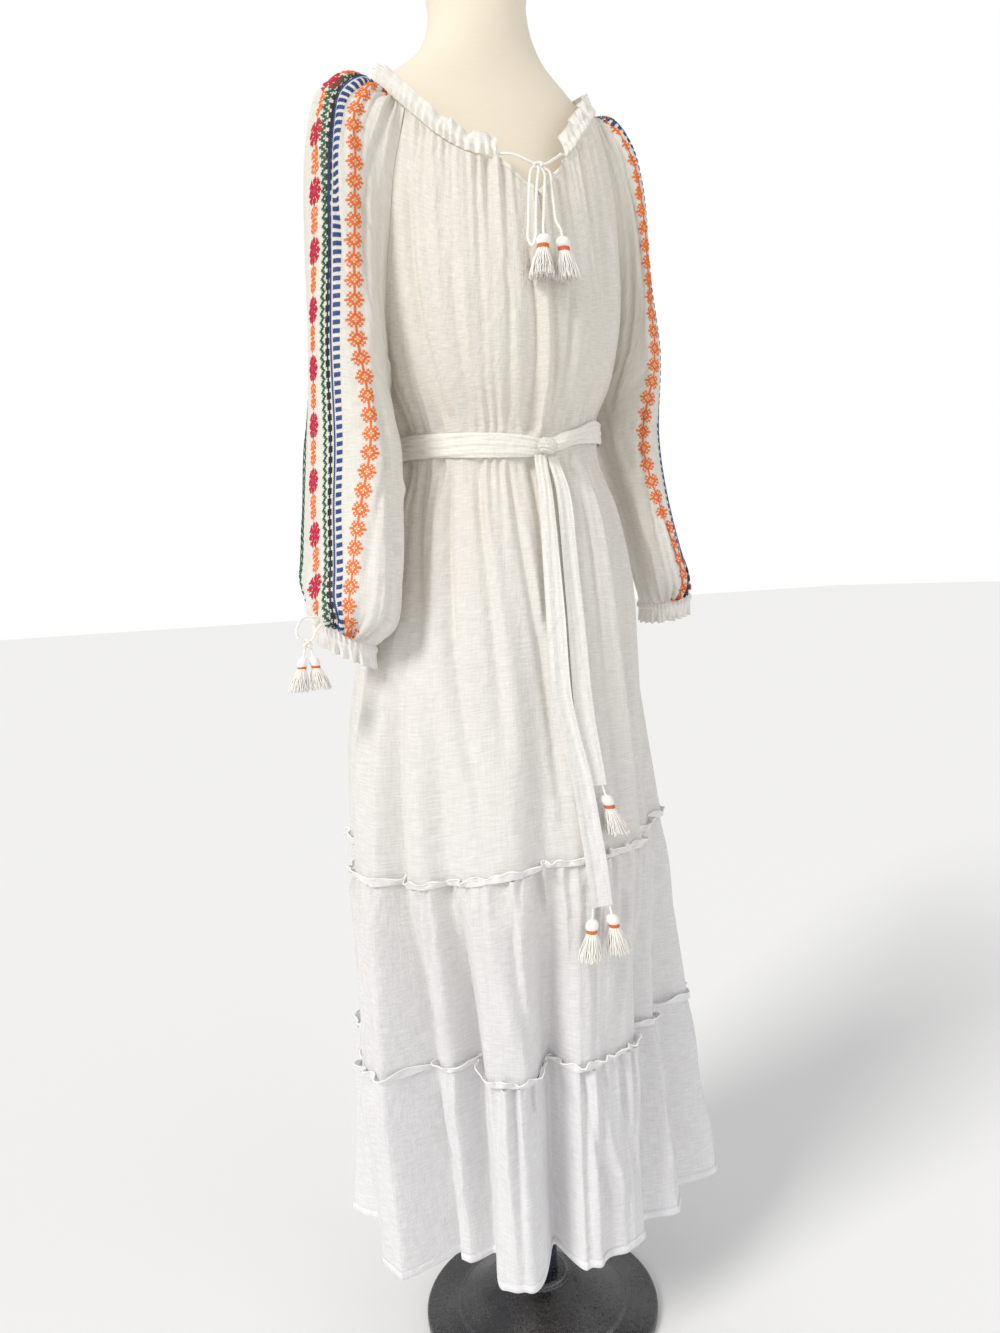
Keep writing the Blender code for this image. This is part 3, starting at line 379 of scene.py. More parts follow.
# Stand
# A heavy round base of cast metal with a bell in its middle, and a plain pole that carries the form. Both
# are sprayed dark gunmetal and show rubbed patches.
def worn_group():
    """Paint rubbed by handling: a mask of soft patches and fine scratches."""
    group, inside, outside = new_group("Worn finish", (("Patch size", "Float"),), (("Mask", "Float"),))
    place, patches = node(group, "ShaderNodeTexCoord"), node(group, "ShaderNodeTexNoise", Detail=6.0)
    scratches, mix = node(group, "ShaderNodeTexNoise", Scale=420.0), node(group, "ShaderNodeMath")
    mix.operation = "MULTIPLY"
    connect(group, (place, "Object", patches, "Vector"), (inside, "Patch size", patches, "Scale"),
            (place, "Object", scratches, "Vector"), (patches, "Fac", mix, 0), (scratches, "Fac", mix, 1),
            (mix, 0, outside, "Mask"))
    return group


WORN = worn_group()


def gunmetal(name, dark, light, roughness):
    material = shader(name, dark, roughness, Metallic=0.9)
    tree = material.node_tree
    main, worn = tree.nodes["Principled BSDF"], tree.nodes.new("ShaderNodeGroup")
    worn.node_tree = WORN
    worn.inputs["Patch size"].default_value = 14.0
    tone = node(tree, "ShaderNodeMapRange", From_Min=0.15, From_Max=0.42)
    colour = colour_mix(tree, dark, light)
    rough = node(tree, "ShaderNodeMapRange", From_Min=0.15, From_Max=0.42, To_Min=roughness - 0.1,
                 To_Max=roughness + 0.14)
    relief = node(tree, "ShaderNodeBump", Strength=0.12, Distance=0.0005)
    connect(tree, (worn, "Mask", tone, "Value"), (worn, "Mask", rough, "Value"),
            (tone, "Result", colour, "Factor"), (colour, "Result", main, "Base Color"),
            (rough, "Result", main, "Roughness"), (worn, "Mask", relief, "Height"),
            (relief, "Normal", main, "Normal"))
    return material


BASE_METAL = gunmetal("base_gunmetal", (0.10, 0.10, 0.105), (0.20, 0.20, 0.20), 0.30)
POLE_METAL = gunmetal("pole_blue_grey", (0.055, 0.065, 0.09), (0.11, 0.125, 0.155), 0.30)


def turned(name, profile, steps, material):
    """A solid of revolution, from the top of the axis outward and down to the underside."""
    turns = np.linspace(0, 2 * math.pi, steps, endpoint=False)
    points = []
    for reach, height in profile:
        points += [(reach * math.cos(t), reach * math.sin(t), height) for t in turns]
    faces = grid_faces(len(profile), steps, closed=True)
    return add_mesh(name, points, faces, material)


def rounded(profile, radius, steps=4):
    """A profile with its inner corners rounded."""
    out = [profile[0]]
    for before, corner, after in zip(profile, profile[1:], profile[2:]):
        a, b, c = (np.array(point, float) for point in (before, corner, after))
        near = min(radius, 0.45 * np.linalg.norm(a - b), 0.45 * np.linalg.norm(c - b))
        start, end = b + (a - b) / np.linalg.norm(a - b) * near, b + (c - b) / np.linalg.norm(c - b) * near
        for k in range(steps + 1):
            t = k / steps
            out.append(tuple(start * (1 - t) ** 2 + 2 * b * t * (1 - t) + end * t * t))
    return out + [profile[-1]]


BASE_PROFILE = (
    (0.0001, 0.0520), (0.0330, 0.0520), (0.0360, 0.0490), (0.0365, 0.0440), (0.0400, 0.0432),
    (0.0520, 0.0405), (0.0760, 0.0310), (0.0960, 0.0210), (0.1055, 0.0166), (0.1085, 0.0164),
    (0.1105, 0.0145), (0.1125, 0.0118), (0.1500, 0.0100), (0.1525, 0.0080), (0.1525, 0.0000), (0.0001, 0.0),
)
base = turned("stand_base_cast", rounded(BASE_PROFILE, 0.0012), 160, BASE_METAL)
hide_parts("stand_base")
POLE_PROFILE = ((0.0001, 0.800), (0.0210, 0.800), (0.0210, 0.0800), (0.0228, 0.0790), (0.0228, 0.0523),
                (0.0001, 0.0523))
pole = turned("stand_pole_tube", rounded(POLE_PROFILE, 0.0006), 64, POLE_METAL)
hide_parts("stand_pole")


# Dress form
# A limbless torso of moulded board with a stretched cream jersey cover and a flat neck cap.
# Height, half width, reach forward and reach back.
FORM_SECTIONS = (
    (0.8003, 0.146, 0.098, 0.118), (0.860, 0.149, 0.108, 0.132), (0.930, 0.146, 0.109, 0.124),
    (1.000, 0.138, 0.104, 0.104), (1.060, 0.120, 0.098, 0.090), (1.115, 0.110, 0.094, 0.082),
    (1.190, 0.120, 0.108, 0.086), (1.265, 0.134, 0.126, 0.090), (1.330, 0.144, 0.122, 0.091),
    (1.390, 0.150, 0.111, 0.089), (1.440, 0.156, 0.095, 0.083), (1.480, 0.158, 0.080, 0.074),
    (1.503, 0.156, 0.072, 0.066), (1.525, 0.1390, 0.065, 0.061), (1.548, 0.1142, 0.061, 0.060),
    (1.570, 0.086, 0.060, 0.060), (1.595, 0.068, 0.061, 0.056), (1.630, 0.0590, 0.0620, 0.0520),
    (1.665, 0.0565, 0.0610, 0.0505), (1.673, 0.0490, 0.0540, 0.0430),
)


def section_reach(table, angle, height, power):
    """Reach of a rounded section from the upright axis."""
    side = np.abs(np.sin(np.radians(angle)))
    ahead = np.cos(np.radians(angle))
    depth = np.where(ahead > 0, through(height, table, 2), through(height, table, 3))
    return ((side / through(height, table, 1)) ** power + (np.abs(ahead) / depth) ** power) ** (-1 / power)


def at_angle(reach, angle, height):
    turn = np.radians(angle)
    return np.stack([reach * np.sin(turn), -reach * np.cos(turn), height + 0 * angle], axis=-1)


FORM_ROWS, FORM_COLUMNS = 100, 120
FORM_INSET = 0.0003
JERSEY = fibrous("form_jersey", (0.86, 0.77, 0.63), (0.76, 0.65, 0.50), 60.0, (1, 1, 9), 0.35, 0.8, 0.25,
                 Sheen_Weight=0.25)
heights, around = np.meshgrid(np.linspace(FORM_SECTIONS[0][0], FORM_SECTIONS[-1][0], FORM_ROWS),
                              np.arange(0, 360, 360 / FORM_COLUMNS), indexing="ij")
body = at_angle(section_reach(FORM_SECTIONS, around, heights, 2.0) - FORM_INSET, around, heights)
points = list(body.reshape(-1, 3)) + [(0, 0.010, 0.8003), (0, -0.004, 1.6738)]
faces = grid_faces(*around.shape, closed=True)
last = len(points) - 1
top_row = (FORM_ROWS - 1) * FORM_COLUMNS
for j in range(FORM_COLUMNS):
    k = (j + 1) % FORM_COLUMNS
    faces += [(last - 1, k, j), (last, top_row + j, top_row + k)]
form = add_mesh("form_cover", points, [face[::-1] for face in faces], JERSEY)
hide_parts("dress_form")


# Body panels
# The front and back are each one piece of thin slubby gauze from the neck to the upper seam, gathered to
# the neck casing and pulled in under the belt. The front is slit below the casing and its edges are bound.
CLOTH_INSET = 0.0003
SLIT_DEPTH = 0.034
BODY_SQUARENESS = 2.15
HEM_Z, LOWER_SEAM_Z, UPPER_SEAM_Z = 0.155, 0.400, 0.648
UNDERARM_Z, UNDERARM_ANGLE = 1.180, 94.0
SIDE_SEAM_RIGHT, SIDE_SEAM_LEFT = -98.0, 88.0
NECK_OPENING_ANGLE, FRONT_RAGLAN_ANGLE, BACK_RAGLAN_ANGLE = 18.0, 62.0, 124.0
BELT_WIDTH, WAIST_Z = 0.027, 1.112

# Height, half width, reach forward, reach back, and how far the cloth hangs over to the wearer's right
BODY_SECTIONS = (
    (1.545, 0.13, 0.086, 0.074, 0), (1.5, 0.146, 0.106, 0.088, 0), (1.43, 0.158, 0.125, 0.102, 0),
    (1.35, 0.16, 0.139, 0.108, 0), (1.27, 0.156, 0.147, 0.11, 0), (1.19, 0.142, 0.136, 0.106, 0),
    (1.115, 0.122, 0.114, 0.099, 0), (1.04, 0.137, 0.134, 0.113, 0), (0.96, 0.154, 0.15, 0.136, 0.003),
    (0.88, 0.171, 0.162, 0.154, 0.011), (0.78, 0.186, 0.172, 0.164, 0.011),
    (0.648, 0.198, 0.184, 0.168, 0.004),
)
# Crest angle, half its spread, then reach of the crest and of the next hollow at hem, lower and upper seam
SKIRT_FOLDS = (
    (-172, 6, 0.198, 0.152, 0.184, 0.152, 0.174, 0.16), (-146, 7, 0.216, 0.166, 0.2, 0.164, 0.192, 0.178),
    (-117, 7, 0.24, 0.182, 0.216, 0.184, 0.213, 0.194), (-77, 9, 0.224, 0.142, 0.236, 0.164, 0.228, 0.196),
    (-61, 4, 0.154, 0.126, 0.172, 0.13, 0.208, 0.19), (-34, 11, 0.185, 0.104, 0.189, 0.124, 0.206, 0.182),
    (-3, 6, 0.163, 0.155, 0.168, 0.162, 0.192, 0.187), (20, 10, 0.163, 0.148, 0.16, 0.12, 0.184, 0.132),
    (51, 6, 0.187, 0.174, 0.162, 0.15, 0.166, 0.158), (75, 7, 0.247, 0.19, 0.216, 0.18, 0.189, 0.176),
    (101, 7, 0.232, 0.168, 0.208, 0.166, 0.188, 0.172), (129, 7, 0.218, 0.158, 0.2, 0.158, 0.182, 0.166),
    (157, 7, 0.206, 0.15, 0.188, 0.152, 0.176, 0.162),
)
BELT_PATH = ((0.0, 1.110), (40.0, 1.131), (90.0, 1.135), (180.0, 1.132), (280.0, 1.121), (325.0, 1.114),
             (360.0, 1.110))
NECK_EDGE = (
    (-180.0, 1.496), (-150.0, 1.505), (-120.0, 1.521), (-92.0, 1.5277), (-77.0, 1.513), (-57.0, 1.469),
    (-46.0, 1.443), (-34.0, 1.424), (-18.0, 1.418), (0.0, 1.418), (18.0, 1.427), (36.0, 1.464),
    (52.0, 1.494), (75.0, 1.520), (92.0, 1.528), (120.0, 1.521), (150.0, 1.505), (180.0, 1.496),
)
# Raglan seams: height, angle of the front seam, angle of the back seam
RAGLAN_PATH = (
    (1.488, 62.0, 124.0), (1.445, 64.0, 121.0), (1.390, 66.5, 117.0), (1.330, 70.0, 112.0),
    (1.270, 75.0, 107.0), (1.215, 83.0, 101.0), (1.180, 93.6, 94.4),
)


def wrapped(angle):
    return (angle + 180.0) % 360.0 - 180.0


def belt_middle(angle):
    return through(angle % 360.0, BELT_PATH, 1)


def held_height(angle, height):
    """The height at which the body's section is read: the belt holds the cloth at its waist."""
    offset = height - belt_middle(angle)
    beyond = np.abs(offset) - BELT_WIDTH / 2
    edge = belt_middle(angle) + np.copysign(BELT_WIDTH / 2, offset)
    eased = height + (WAIST_Z - edge) * np.exp(-np.maximum(beyond, 0) / 0.04)
    return np.where(beyond <= 0, WAIST_Z, eased)


def body_reach(angle, height):
    level = held_height(angle, height)
    hang = through(level, BODY_SECTIONS, 4) * np.sin(np.radians(angle))
    return section_reach(BODY_SECTIONS, angle, level, BODY_SQUARENESS) - hang


def fold_ring(column):
    """Reach of the folded skirt at each quarter degree: 2 is the hem, 4 the lower seam, 6 the upper seam."""
    ring, count = [], len(SKIRT_FOLDS)
    for angle in np.arange(-180, 180, 0.25):
        i = max((k for k in range(count) if SKIRT_FOLDS[k][0] <= angle), default=count - 1)
        crest, spread, out, hollow = (SKIRT_FOLDS[i][k] for k in (0, 1, column, column + 1))
        following = SKIRT_FOLDS[(i + 1) % count]
        gap, ahead = (following[0] - crest) % 360.0, (angle - crest) % 360.0
        hollow_at = (spread + gap - following[1]) / 2
        if ahead <= hollow_at:
            ring.append(out + (hollow - out) * ease((ahead - 0.5 * spread) / (hollow_at - 0.5 * spread)))
        else:
            rise_end = gap - 0.5 * following[1]
            share = ease((ahead - hollow_at) / (rise_end - hollow_at))
            ring.append(hollow + (following[column] - hollow) * share)
    return np.array(ring)


FOLD_RINGS = {column: fold_ring(column) for column in (2, 4, 6)}


def fold_reach(angle, column):
    ring = FOLD_RINGS[column]
    return np.interp(wrapped(angle), np.arange(-180, 180.1, 0.25), np.append(ring, ring[0]))


def neck_height(angle):
    return through(wrapped(angle), NECK_EDGE, 1)


def upper_seam_height(angle):
    return UPPER_SEAM_Z - 0.022 * np.exp(-((wrapped(angle + 62.0) / 30.0) ** 2))


def slit_drop(angle):
    """How far the front's edge dips toward the foot of the slit."""
    return SLIT_DEPTH * np.maximum(0.0, 1.0 - np.abs(angle) / NECK_OPENING_ANGLE)


def main_reach(angle, height):
    """Reach of the cloth with its large folds alone."""
    share = 1.0 - ease((height - UPPER_SEAM_Z) / 0.34)
    at_seam = body_reach(angle, UPPER_SEAM_Z + 0 * angle)
    upper = body_reach(angle, height) + (fold_reach(angle, 6) - at_seam) * share
    share = np.clip((UPPER_SEAM_Z - height) / (UPPER_SEAM_Z - LOWER_SEAM_Z), 0, 1)
    middle = fold_reach(angle, 6) * (1 - share) + fold_reach(angle, 4) * share
    middle += 0.005 * np.sin(np.pi * np.clip((UPPER_SEAM_Z - height) / 0.12, 0, 1)) * (1 - share)
    share = np.clip((LOWER_SEAM_Z - height) / (LOWER_SEAM_Z - HEM_Z), 0, 1)
    lower = fold_reach(angle, 4) * (1 - share) + fold_reach(angle, 2) * share
    lower += 0.005 * np.sin(np.pi * np.clip((LOWER_SEAM_Z - height) / 0.12, 0, 1)) * (1 - share)
    return np.where(height >= UPPER_SEAM_Z, upper, np.where(height >= LOWER_SEAM_Z, middle, lower))


# Creases: angle and height of the upper end, angle and height of the lower end, half width in
# degrees, and depth in units of CREASE_UNIT, a ridge where it is positive and a trough where it is negative
CREASE_UNIT = 0.00145
FRONT_CREASES = (
    (-60, 1.4, -53, 1.13, 2.6, -4), (-55.5, 1.34, -49, 1.13, 3, 3), (-41, 1.33, -39, 1.12, 2.2, -2.6),
    (-37, 1.3, -36, 1.12, 2.6, 2), (-30, 1.36, -28, 1.22, 3, -1.6), (-19, 1.31, -19, 1.12, 1.8, -2.2),
    (-15, 1.26, -15.5, 1.12, 2.4, 1.8), (-7.2, 1.32, -6, 1.12, 1.2, -3), (-2.2, 1.34, 0.5, 1.12, 2.6, 3),
    (3.4, 1.3, 5.4, 1.12, 1.2, -3.2), (12, 1.28, 7.8, 1.12, 1.6, -3), (17, 1.3, 14, 1.12, 3, 2.4),
    (25, 1.33, 22, 1.12, 2.2, -2.2), (41, 1.41, 30, 1.14, 2.4, -3.4), (47, 1.38, 40, 1.14, 3, 2.4),
    (58, 1.36, 52, 1.12, 2.4, -2.6), (-54, 1.1, -38, 0.7, 2.2, -5), (-59, 1.09, -46, 0.68, 3.4, 4),
    (-38.5, 1.1, -28, 0.78, 2.4, -4), (-33, 1.08, -22, 0.72, 3.2, 2.6), (-20.5, 1.1, -9, 0.67, 1.9, -4.4),
    (-15, 1.04, -3.5, 0.67, 2.8, 2.6), (-7, 1.095, -12.5, 0.86, 1.8, -2.6), (22, 1.09, 11, 0.68, 1.8, -3),
    (28, 1.08, 24, 0.7, 3.2, 3.6), (46, 1.1, 42, 0.8, 2.4, -3.4), (52, 1.08, 58, 0.7, 3.4, 3.4),
    (66, 1.1, 66, 0.74, 2.6, -4), (-72, 1.1, -60, 0.86, 2.6, -4.4), (-82, 1.09, -80, 0.7, 3.2, 3.6),
    (-90, 1.09, -90, 0.76, 2.4, -3), (76, 1.1, 80, 0.76, 2.8, 2.6),
)
BACK_CREASES = (
    (118, 1.34, 126, 1.15, 2.4, -3.4), (131, 1.4, 133, 1.14, 2.8, 2.6), (143, 1.38, 146, 1.14, 2, -2.8),
    (158, 1.41, 160, 1.15, 2.6, 2.4), (170, 1.37, 168, 1.14, 1.8, -2.6), (182, 1.42, 181, 1.14, 2.8, 2.8),
    (193, 1.38, 191, 1.14, 2, -2.8), (207, 1.41, 203, 1.15, 2.8, 2.4), (219, 1.37, 213, 1.14, 2.2, -3.2),
    (236, 1.33, 230, 1.14, 2.6, 3), (104, 1.1, 108, 0.74, 2.6, -4), (121, 1.1, 118, 0.7, 2.8, 3.4),
    (138, 1.1, 141, 0.72, 2.2, -4.2), (152, 1.09, 150, 0.7, 3, 3.2), (165, 1.1, 168, 0.76, 2, -3.8),
    (178, 1.1, 176, 0.68, 3.2, 3.4), (192, 1.1, 196, 0.74, 2.2, -4.2), (208, 1.09, 205, 0.7, 2.8, 3.2),
    (224, 1.1, 228, 0.72, 2.4, -4), (246, 1.1, 243, 0.72, 3, 3.6), (256, 1.09, 257, 0.8, 2.2, -2.8),
)
TIER_CREASES = (
    (-60, 0.62, -67, 0.43, 2, -4), (-48, 0.61, -51, 0.42, 1.8, -4.2), (-53.5, 0.6, -58, 0.45, 2.4, 2.6),
    (-41, 0.62, -44, 0.5, 2, 2.2), (-29, 0.63, -26.5, 0.43, 1.6, -4.4), (-34, 0.6, -33, 0.44, 2.6, 2.4),
    (-19.5, 0.64, -17, 0.5, 1.4, -3.4), (-12, 0.62, -10, 0.44, 2.6, 3), (-4, 0.63, -1, 0.52, 1.6, -2.4),
    (5, 0.63, 9, 0.46, 2.2, 2.6), (13, 0.62, 15, 0.44, 1.8, -3.8), (23, 0.62, 27, 0.45, 2.4, -3),
    (33, 0.63, 36, 0.43, 2.4, 3.2), (45, 0.62, 47, 0.44, 2, -3.6), (58, 0.63, 60, 0.46, 2.6, 3),
    (68, 0.62, 66, 0.44, 2, -3.6), (84, 0.62, 86, 0.44, 2.4, 2.6), (-74, 0.61, -73, 0.43, 2.6, 2.4),
    (-86, 0.61, -88, 0.44, 2.2, -3.8), (-66, 0.38, -62, 0.19, 1.8, -4), (-57, 0.38, -58, 0.22, 2.2, 2.8),
    (-44, 0.39, -40, 0.22, 1.8, -3.4), (-35, 0.38, -34, 0.17, 2.6, 3), (-26, 0.39, -22, 0.24, 1.6, -4),
    (-12, 0.38, -11, 0.2, 1.8, -3.8), (-4, 0.39, 7, 0.2, 1.6, -3.6), (3, 0.38, 14, 0.22, 2.4, 3),
    (16, 0.38, 24, 0.2, 1.8, -3), (31, 0.38, 38, 0.19, 2.2, -4), (42, 0.39, 47, 0.21, 2.4, 3),
    (55, 0.38, 60, 0.2, 2, -3.4), (66, 0.39, 70, 0.18, 2.4, 3.2), (82, 0.38, 84, 0.2, 2.2, -3.4),
    (-77, 0.38, -79, 0.18, 2.8, 3), (-90, 0.39, -91, 0.2, 2.2, -3.4), (104, 0.62, 107, 0.44, 2.2, -3.8),
    (117, 0.62, 114, 0.45, 2.4, 3), (133, 0.62, 136, 0.44, 2, -3.6), (147, 0.61, 150, 0.45, 2.6, 2.8),
    (163, 0.62, 160, 0.44, 2, -3.8), (178, 0.62, 181, 0.43, 2.6, 3), (194, 0.62, 197, 0.45, 2, -3.6),
    (209, 0.61, 207, 0.44, 2.6, 3), (226, 0.62, 229, 0.44, 2, -3.8), (244, 0.62, 242, 0.45, 2.4, 2.8),
    (101, 0.39, 98, 0.2, 2.2, 3), (112, 0.38, 116, 0.19, 1.8, -3.8), (127, 0.39, 124, 0.2, 2.4, 3),
    (141, 0.38, 144, 0.19, 2, -3.8), (156, 0.39, 158, 0.2, 2.4, 3.2), (171, 0.38, 168, 0.19, 1.8, -3.6),
    (186, 0.39, 190, 0.2, 2.4, 3), (201, 0.38, 199, 0.19, 2, -3.8), (216, 0.39, 219, 0.2, 2.4, 3),
    (233, 0.38, 230, 0.19, 2, -3.8), (251, 0.39, 253, 0.2, 2.4, 2.8),
)


def creased(angle, height, rows):
    """Depth of the placed creases, each a soft ridge or trough that fades at both ends."""
    total = 0.0 * angle * height
    for first, high, second, low, width, depth in rows:
        share = (high - height) / (high - low)
        middle = first + (second - first) * np.clip(share, -0.1, 1.1) + 0.9 * np.sin(5 * share + first)
        fade = ease((share + 0.06) / 0.2) * ease((1.12 - share) / 0.35)
        spread = width * (0.75 + 0.5 * np.clip(share, 0, 1))
        total = total + CREASE_UNIT * depth * fade * np.exp(-((wrapped(angle - middle) / spread) ** 2))
    return total


def gathers(angle, below, waves, size, fade, shift=0.0):
    """Fine uneven pleats that run down from a gathered seam and die out."""
    a = np.radians(angle)
    uneven = waves * a + 2.1 * np.sin(5 * a + shift) + 1.3 * np.sin(11 * a + 2 * shift)
    uneven = uneven + 0.8 * np.sin(23 * a)
    wave = np.cos(uneven) + 0.45 * np.cos(1.6 * waves * a + 1.7 * np.sin(7 * a + shift)) - 0.25
    length = fade * (1 + 0.45 * np.sin(9 * a + 3 * shift) + 0.3 * np.sin(17 * a + shift))
    strength = 0.75 + 0.35 * np.sin(13 * a + shift)
    wave = np.where(wave < 0, 1.35 * wave, wave)
    return size * strength * wave * np.exp(-np.maximum(below, 0) / length)


def cloth_reach(angle, height):
    """Reach of the gauze with all of its folds, gathers and creases."""
    reach = main_reach(angle, height)
    below = neck_height(angle) - height
    seamed = 0.35 + 0.65 * ease(below / 0.006)
    reach = reach + gathers(angle, below, 66, 0.0036, 0.050) * seamed
    reach = reach + gathers(angle, below, 29, 0.0027, 0.095, 1.0) * seamed
    off_belt = np.abs(height - belt_middle(angle)) - BELT_WIDTH / 2
    body = height >= UPPER_SEAM_Z - 0.03
    waist = gathers(angle, off_belt, 46, 0.0019, 0.034, 2.0)
    waist = waist + gathers(angle, off_belt, 21, 0.0028, 0.085, 3.0)
    reach = reach + np.where(body, waist, 0.0) * ease((off_belt + 0.004) / 0.012)
    calm = ease((np.abs(height - belt_middle(angle)) - 0.012) / 0.03)
    folds = creased(angle, height, FRONT_CREASES) + creased(angle, height, BACK_CREASES)
    reach = reach + np.where(body, folds, 0.0) * calm
    return reach


def tier_reach(angle, height, seam, shift):
    reach = main_reach(angle, height) + creased(angle, height, TIER_CREASES)
    reach = reach + gathers(angle, seam - height, 88, 0.0024, 0.040, shift)
    return reach + gathers(angle, seam - height, 37, 0.0042, 0.135, shift + 1.0)


def weave_group():
    """Slubby plain weave from the cloth's own metres: a tone, a height and a mask of thick threads."""
    group, inside, outside = new_group(
        "Gauze weave", [(name, "Float") for name in ("Warp", "Weft", "Crinkle")],
        [(name, "Float") for name in ("Tone", "Height")])
    nodes, links = group.nodes, group.links
    uv = nodes.new("ShaderNodeUVMap")
    uv.uv_map = "cloth"

    def streaks(scale_x, scale_y, detail):
        scale, noise = nodes.new("ShaderNodeMapping"), nodes.new("ShaderNodeTexNoise")
        scale.inputs["Scale"].default_value = (scale_x, scale_y, 1.0)
        noise.noise_dimensions = "2D"
        noise.inputs["Scale"].default_value = 1.0
        noise.inputs["Detail"].default_value = detail
        links.new(uv.outputs["UV"], scale.inputs["Vector"])
        links.new(scale.outputs["Vector"], noise.inputs["Vector"])
        return noise.outputs["Fac"]

    def scaled(value, by):
        made = nodes.new("ShaderNodeMath")
        made.operation = "MULTIPLY"
        links.new(value, made.inputs[0])
        if isinstance(by, float):
            made.inputs[1].default_value = by
        else:
            links.new(by, made.inputs[1])
        return made.outputs[0]

    def added(first, second):
        made = nodes.new("ShaderNodeMath")
        links.new(first, made.inputs[0])
        links.new(second, made.inputs[1])
        return made.outputs[0]

    weft, warp = streaks(55.0, 620.0, 3.0), streaks(640.0, 38.0, 3.0)
    crinkle = streaks(95.0, 60.0, 4.0)
    threads = added(scaled(weft, inside.outputs["Weft"]), scaled(warp, inside.outputs["Warp"]))
    links.new(threads, outside.inputs["Tone"])
    links.new(added(threads, scaled(crinkle, inside.outputs["Crinkle"])), outside.inputs["Height"])
    return group


WEAVE = weave_group()


def gauze(name, light, shade, see_through, relief_depth=0.0013):
    """Cotton gauze: pale threads over a slightly darker ground, and a painted tint of light over it, plain
    up high and cool toward the hem.
    """
    material = shader(name, light, 0.92, Sheen_Weight=0.12)
    tree = material.node_tree
    main, weave = tree.nodes["Principled BSDF"], tree.nodes.new("ShaderNodeGroup")
    weave.node_tree = WEAVE
    for socket, value in (("Warp", 0.40), ("Weft", 0.68), ("Crinkle", 1.9)):
        weave.inputs[socket].default_value = value
    tone = node(tree, "ShaderNodeMapRange", From_Min=0.40, From_Max=0.68)
    place, parts = node(tree, "ShaderNodeTexCoord"), node(tree, "ShaderNodeSeparateXYZ")
    # Painted light: the one cloth is tinted by height, plain up high and turned cool toward the hem, to
    # stand in for warm light above and cool light below.
    low = node(tree, "ShaderNodeMapRange", From_Min=1.15, From_Max=0.38)
    ground, painted_cool_light = colour_mix(tree, shade, light), colour_mix(tree, (1, 1, 1), (0.965, 0.99, 1.095))
    tint = colour_mix(tree)
    tint.blend_type = "MULTIPLY"
    tint.inputs["Factor"].default_value = 1.0
    relief = node(tree, "ShaderNodeBump", Strength=0.75, Distance=relief_depth)
    glow, mixed = node(tree, "ShaderNodeBsdfTranslucent"), node(tree, "ShaderNodeMixShader", Fac=see_through)
    connect(tree, (weave, "Tone", tone, "Value"), (tone, "Result", ground, "Factor"),
            (place, "Object", parts, 0), (parts, "Z", low, "Value"), (low, "Result", painted_cool_light, "Factor"),
            (ground, "Result", tint, "A"), (painted_cool_light, "Result", tint, "B"),
            (tint, "Result", main, "Base Color"), (tint, "Result", glow, "Color"),
            (weave, "Height", relief, "Height"), (relief, "Normal", main, "Normal"),
            (main, "BSDF", mixed, 1), (glow, "BSDF", mixed, 2),
            (mixed, "Shader", tree.nodes["Material Output"], "Surface"))
    return material


GAUZE = gauze("gauze_single", (0.95, 0.922, 0.852), (0.85, 0.815, 0.735), 0.20)
# The doubled gauze of the frills, casings, bindings and hem lets less light through, as a double layer does.
# Its colours are also set a little darker than the single gauze's: painted shade on the same cloth, to tone
# down its brightness under the key light.
DOUBLE_GAUZE_PAINTED_SHADE = gauze("gauze_double_painted_shade", (0.92, 0.895, 0.832), (0.83, 0.80, 0.73), 0.06)


def sheet(name, points, material=GAUZE, closed=False):
    """A cloth surface from rows of points that run downward, with metres over the cloth as its UVs."""
    rows, columns = points.shape[:2]
    across = np.linalg.norm(np.diff(points, axis=1, append=points[:, -1:]), axis=2)
    down = np.linalg.norm(np.diff(points, axis=0, prepend=points[:1]), axis=2)
    u = np.cumsum(across.mean(axis=0))[None, :] + np.zeros((rows, 1))
    v = np.cumsum(down.mean(axis=1))[:, None] + np.zeros((1, columns))
    uvs = np.stack([u, v], axis=-1).reshape(-1, 2)
    return add_mesh(name, points.reshape(-1, 3), grid_faces(rows, columns, closed), material, uvs)


def panel_rows(back_panel, columns):
    """Angles and heights over a panel, from the neck down to the upper seam."""
    centre = 180.0 if back_panel else 0.0
    top_edge = 180.0 - BACK_RAGLAN_ANGLE if back_panel else FRONT_RAGLAN_ANGLE
    shares = np.linspace(-1, 1, columns)
    necks = neck_height(np.array([centre - top_edge, centre + top_edge]))
    edge_neck = necks[0] * (1 - shares) / 2 + necks[1] * (1 + shares) / 2
    top_angle = centre + shares * top_edge
    angles, heights = [], []
    for down in np.linspace(0, 1, 84):
        level = edge_neck * (1 - down) + UNDERARM_Z * down
        edge = np.array([through(h, RAGLAN_PATH, 2 if back_panel else 1) for h in (level[0], level[-1])])
        edge = 180.0 - edge if back_panel else edge
        edge = top_edge + (edge - top_edge) * ease(down / 0.12) - 0.02
        half = np.where(shares < 0, edge[0], edge[1])
        height = neck_height(top_angle) * (1 - down) + UNDERARM_Z * down
        if not back_panel:
            height = height - slit_drop(top_angle) * (1 - down) ** 3
        angles.append(centre + shares * half)
        heights.append(height)
    for down in np.linspace(0, 1, 132)[1:]:
        level = UNDERARM_Z * (1 - down) + UPPER_SEAM_Z * down
        share = ease((1.04 - level) / 0.18)
        right_seam = -UNDERARM_ANGLE + (SIDE_SEAM_RIGHT + UNDERARM_ANGLE) * share + 0.06
        left_seam = UNDERARM_ANGLE + (SIDE_SEAM_LEFT - UNDERARM_ANGLE) * share - 0.06
        first, final = (left_seam + 0.12, right_seam + 359.88) if back_panel else (right_seam, left_seam)
        angle = first + (final - first) * (shares + 1) / 2
        angles.append(angle)
        heights.append(UNDERARM_Z * (1 - down) + upper_seam_height(angle) * down)
    return np.array(angles), np.array(heights)


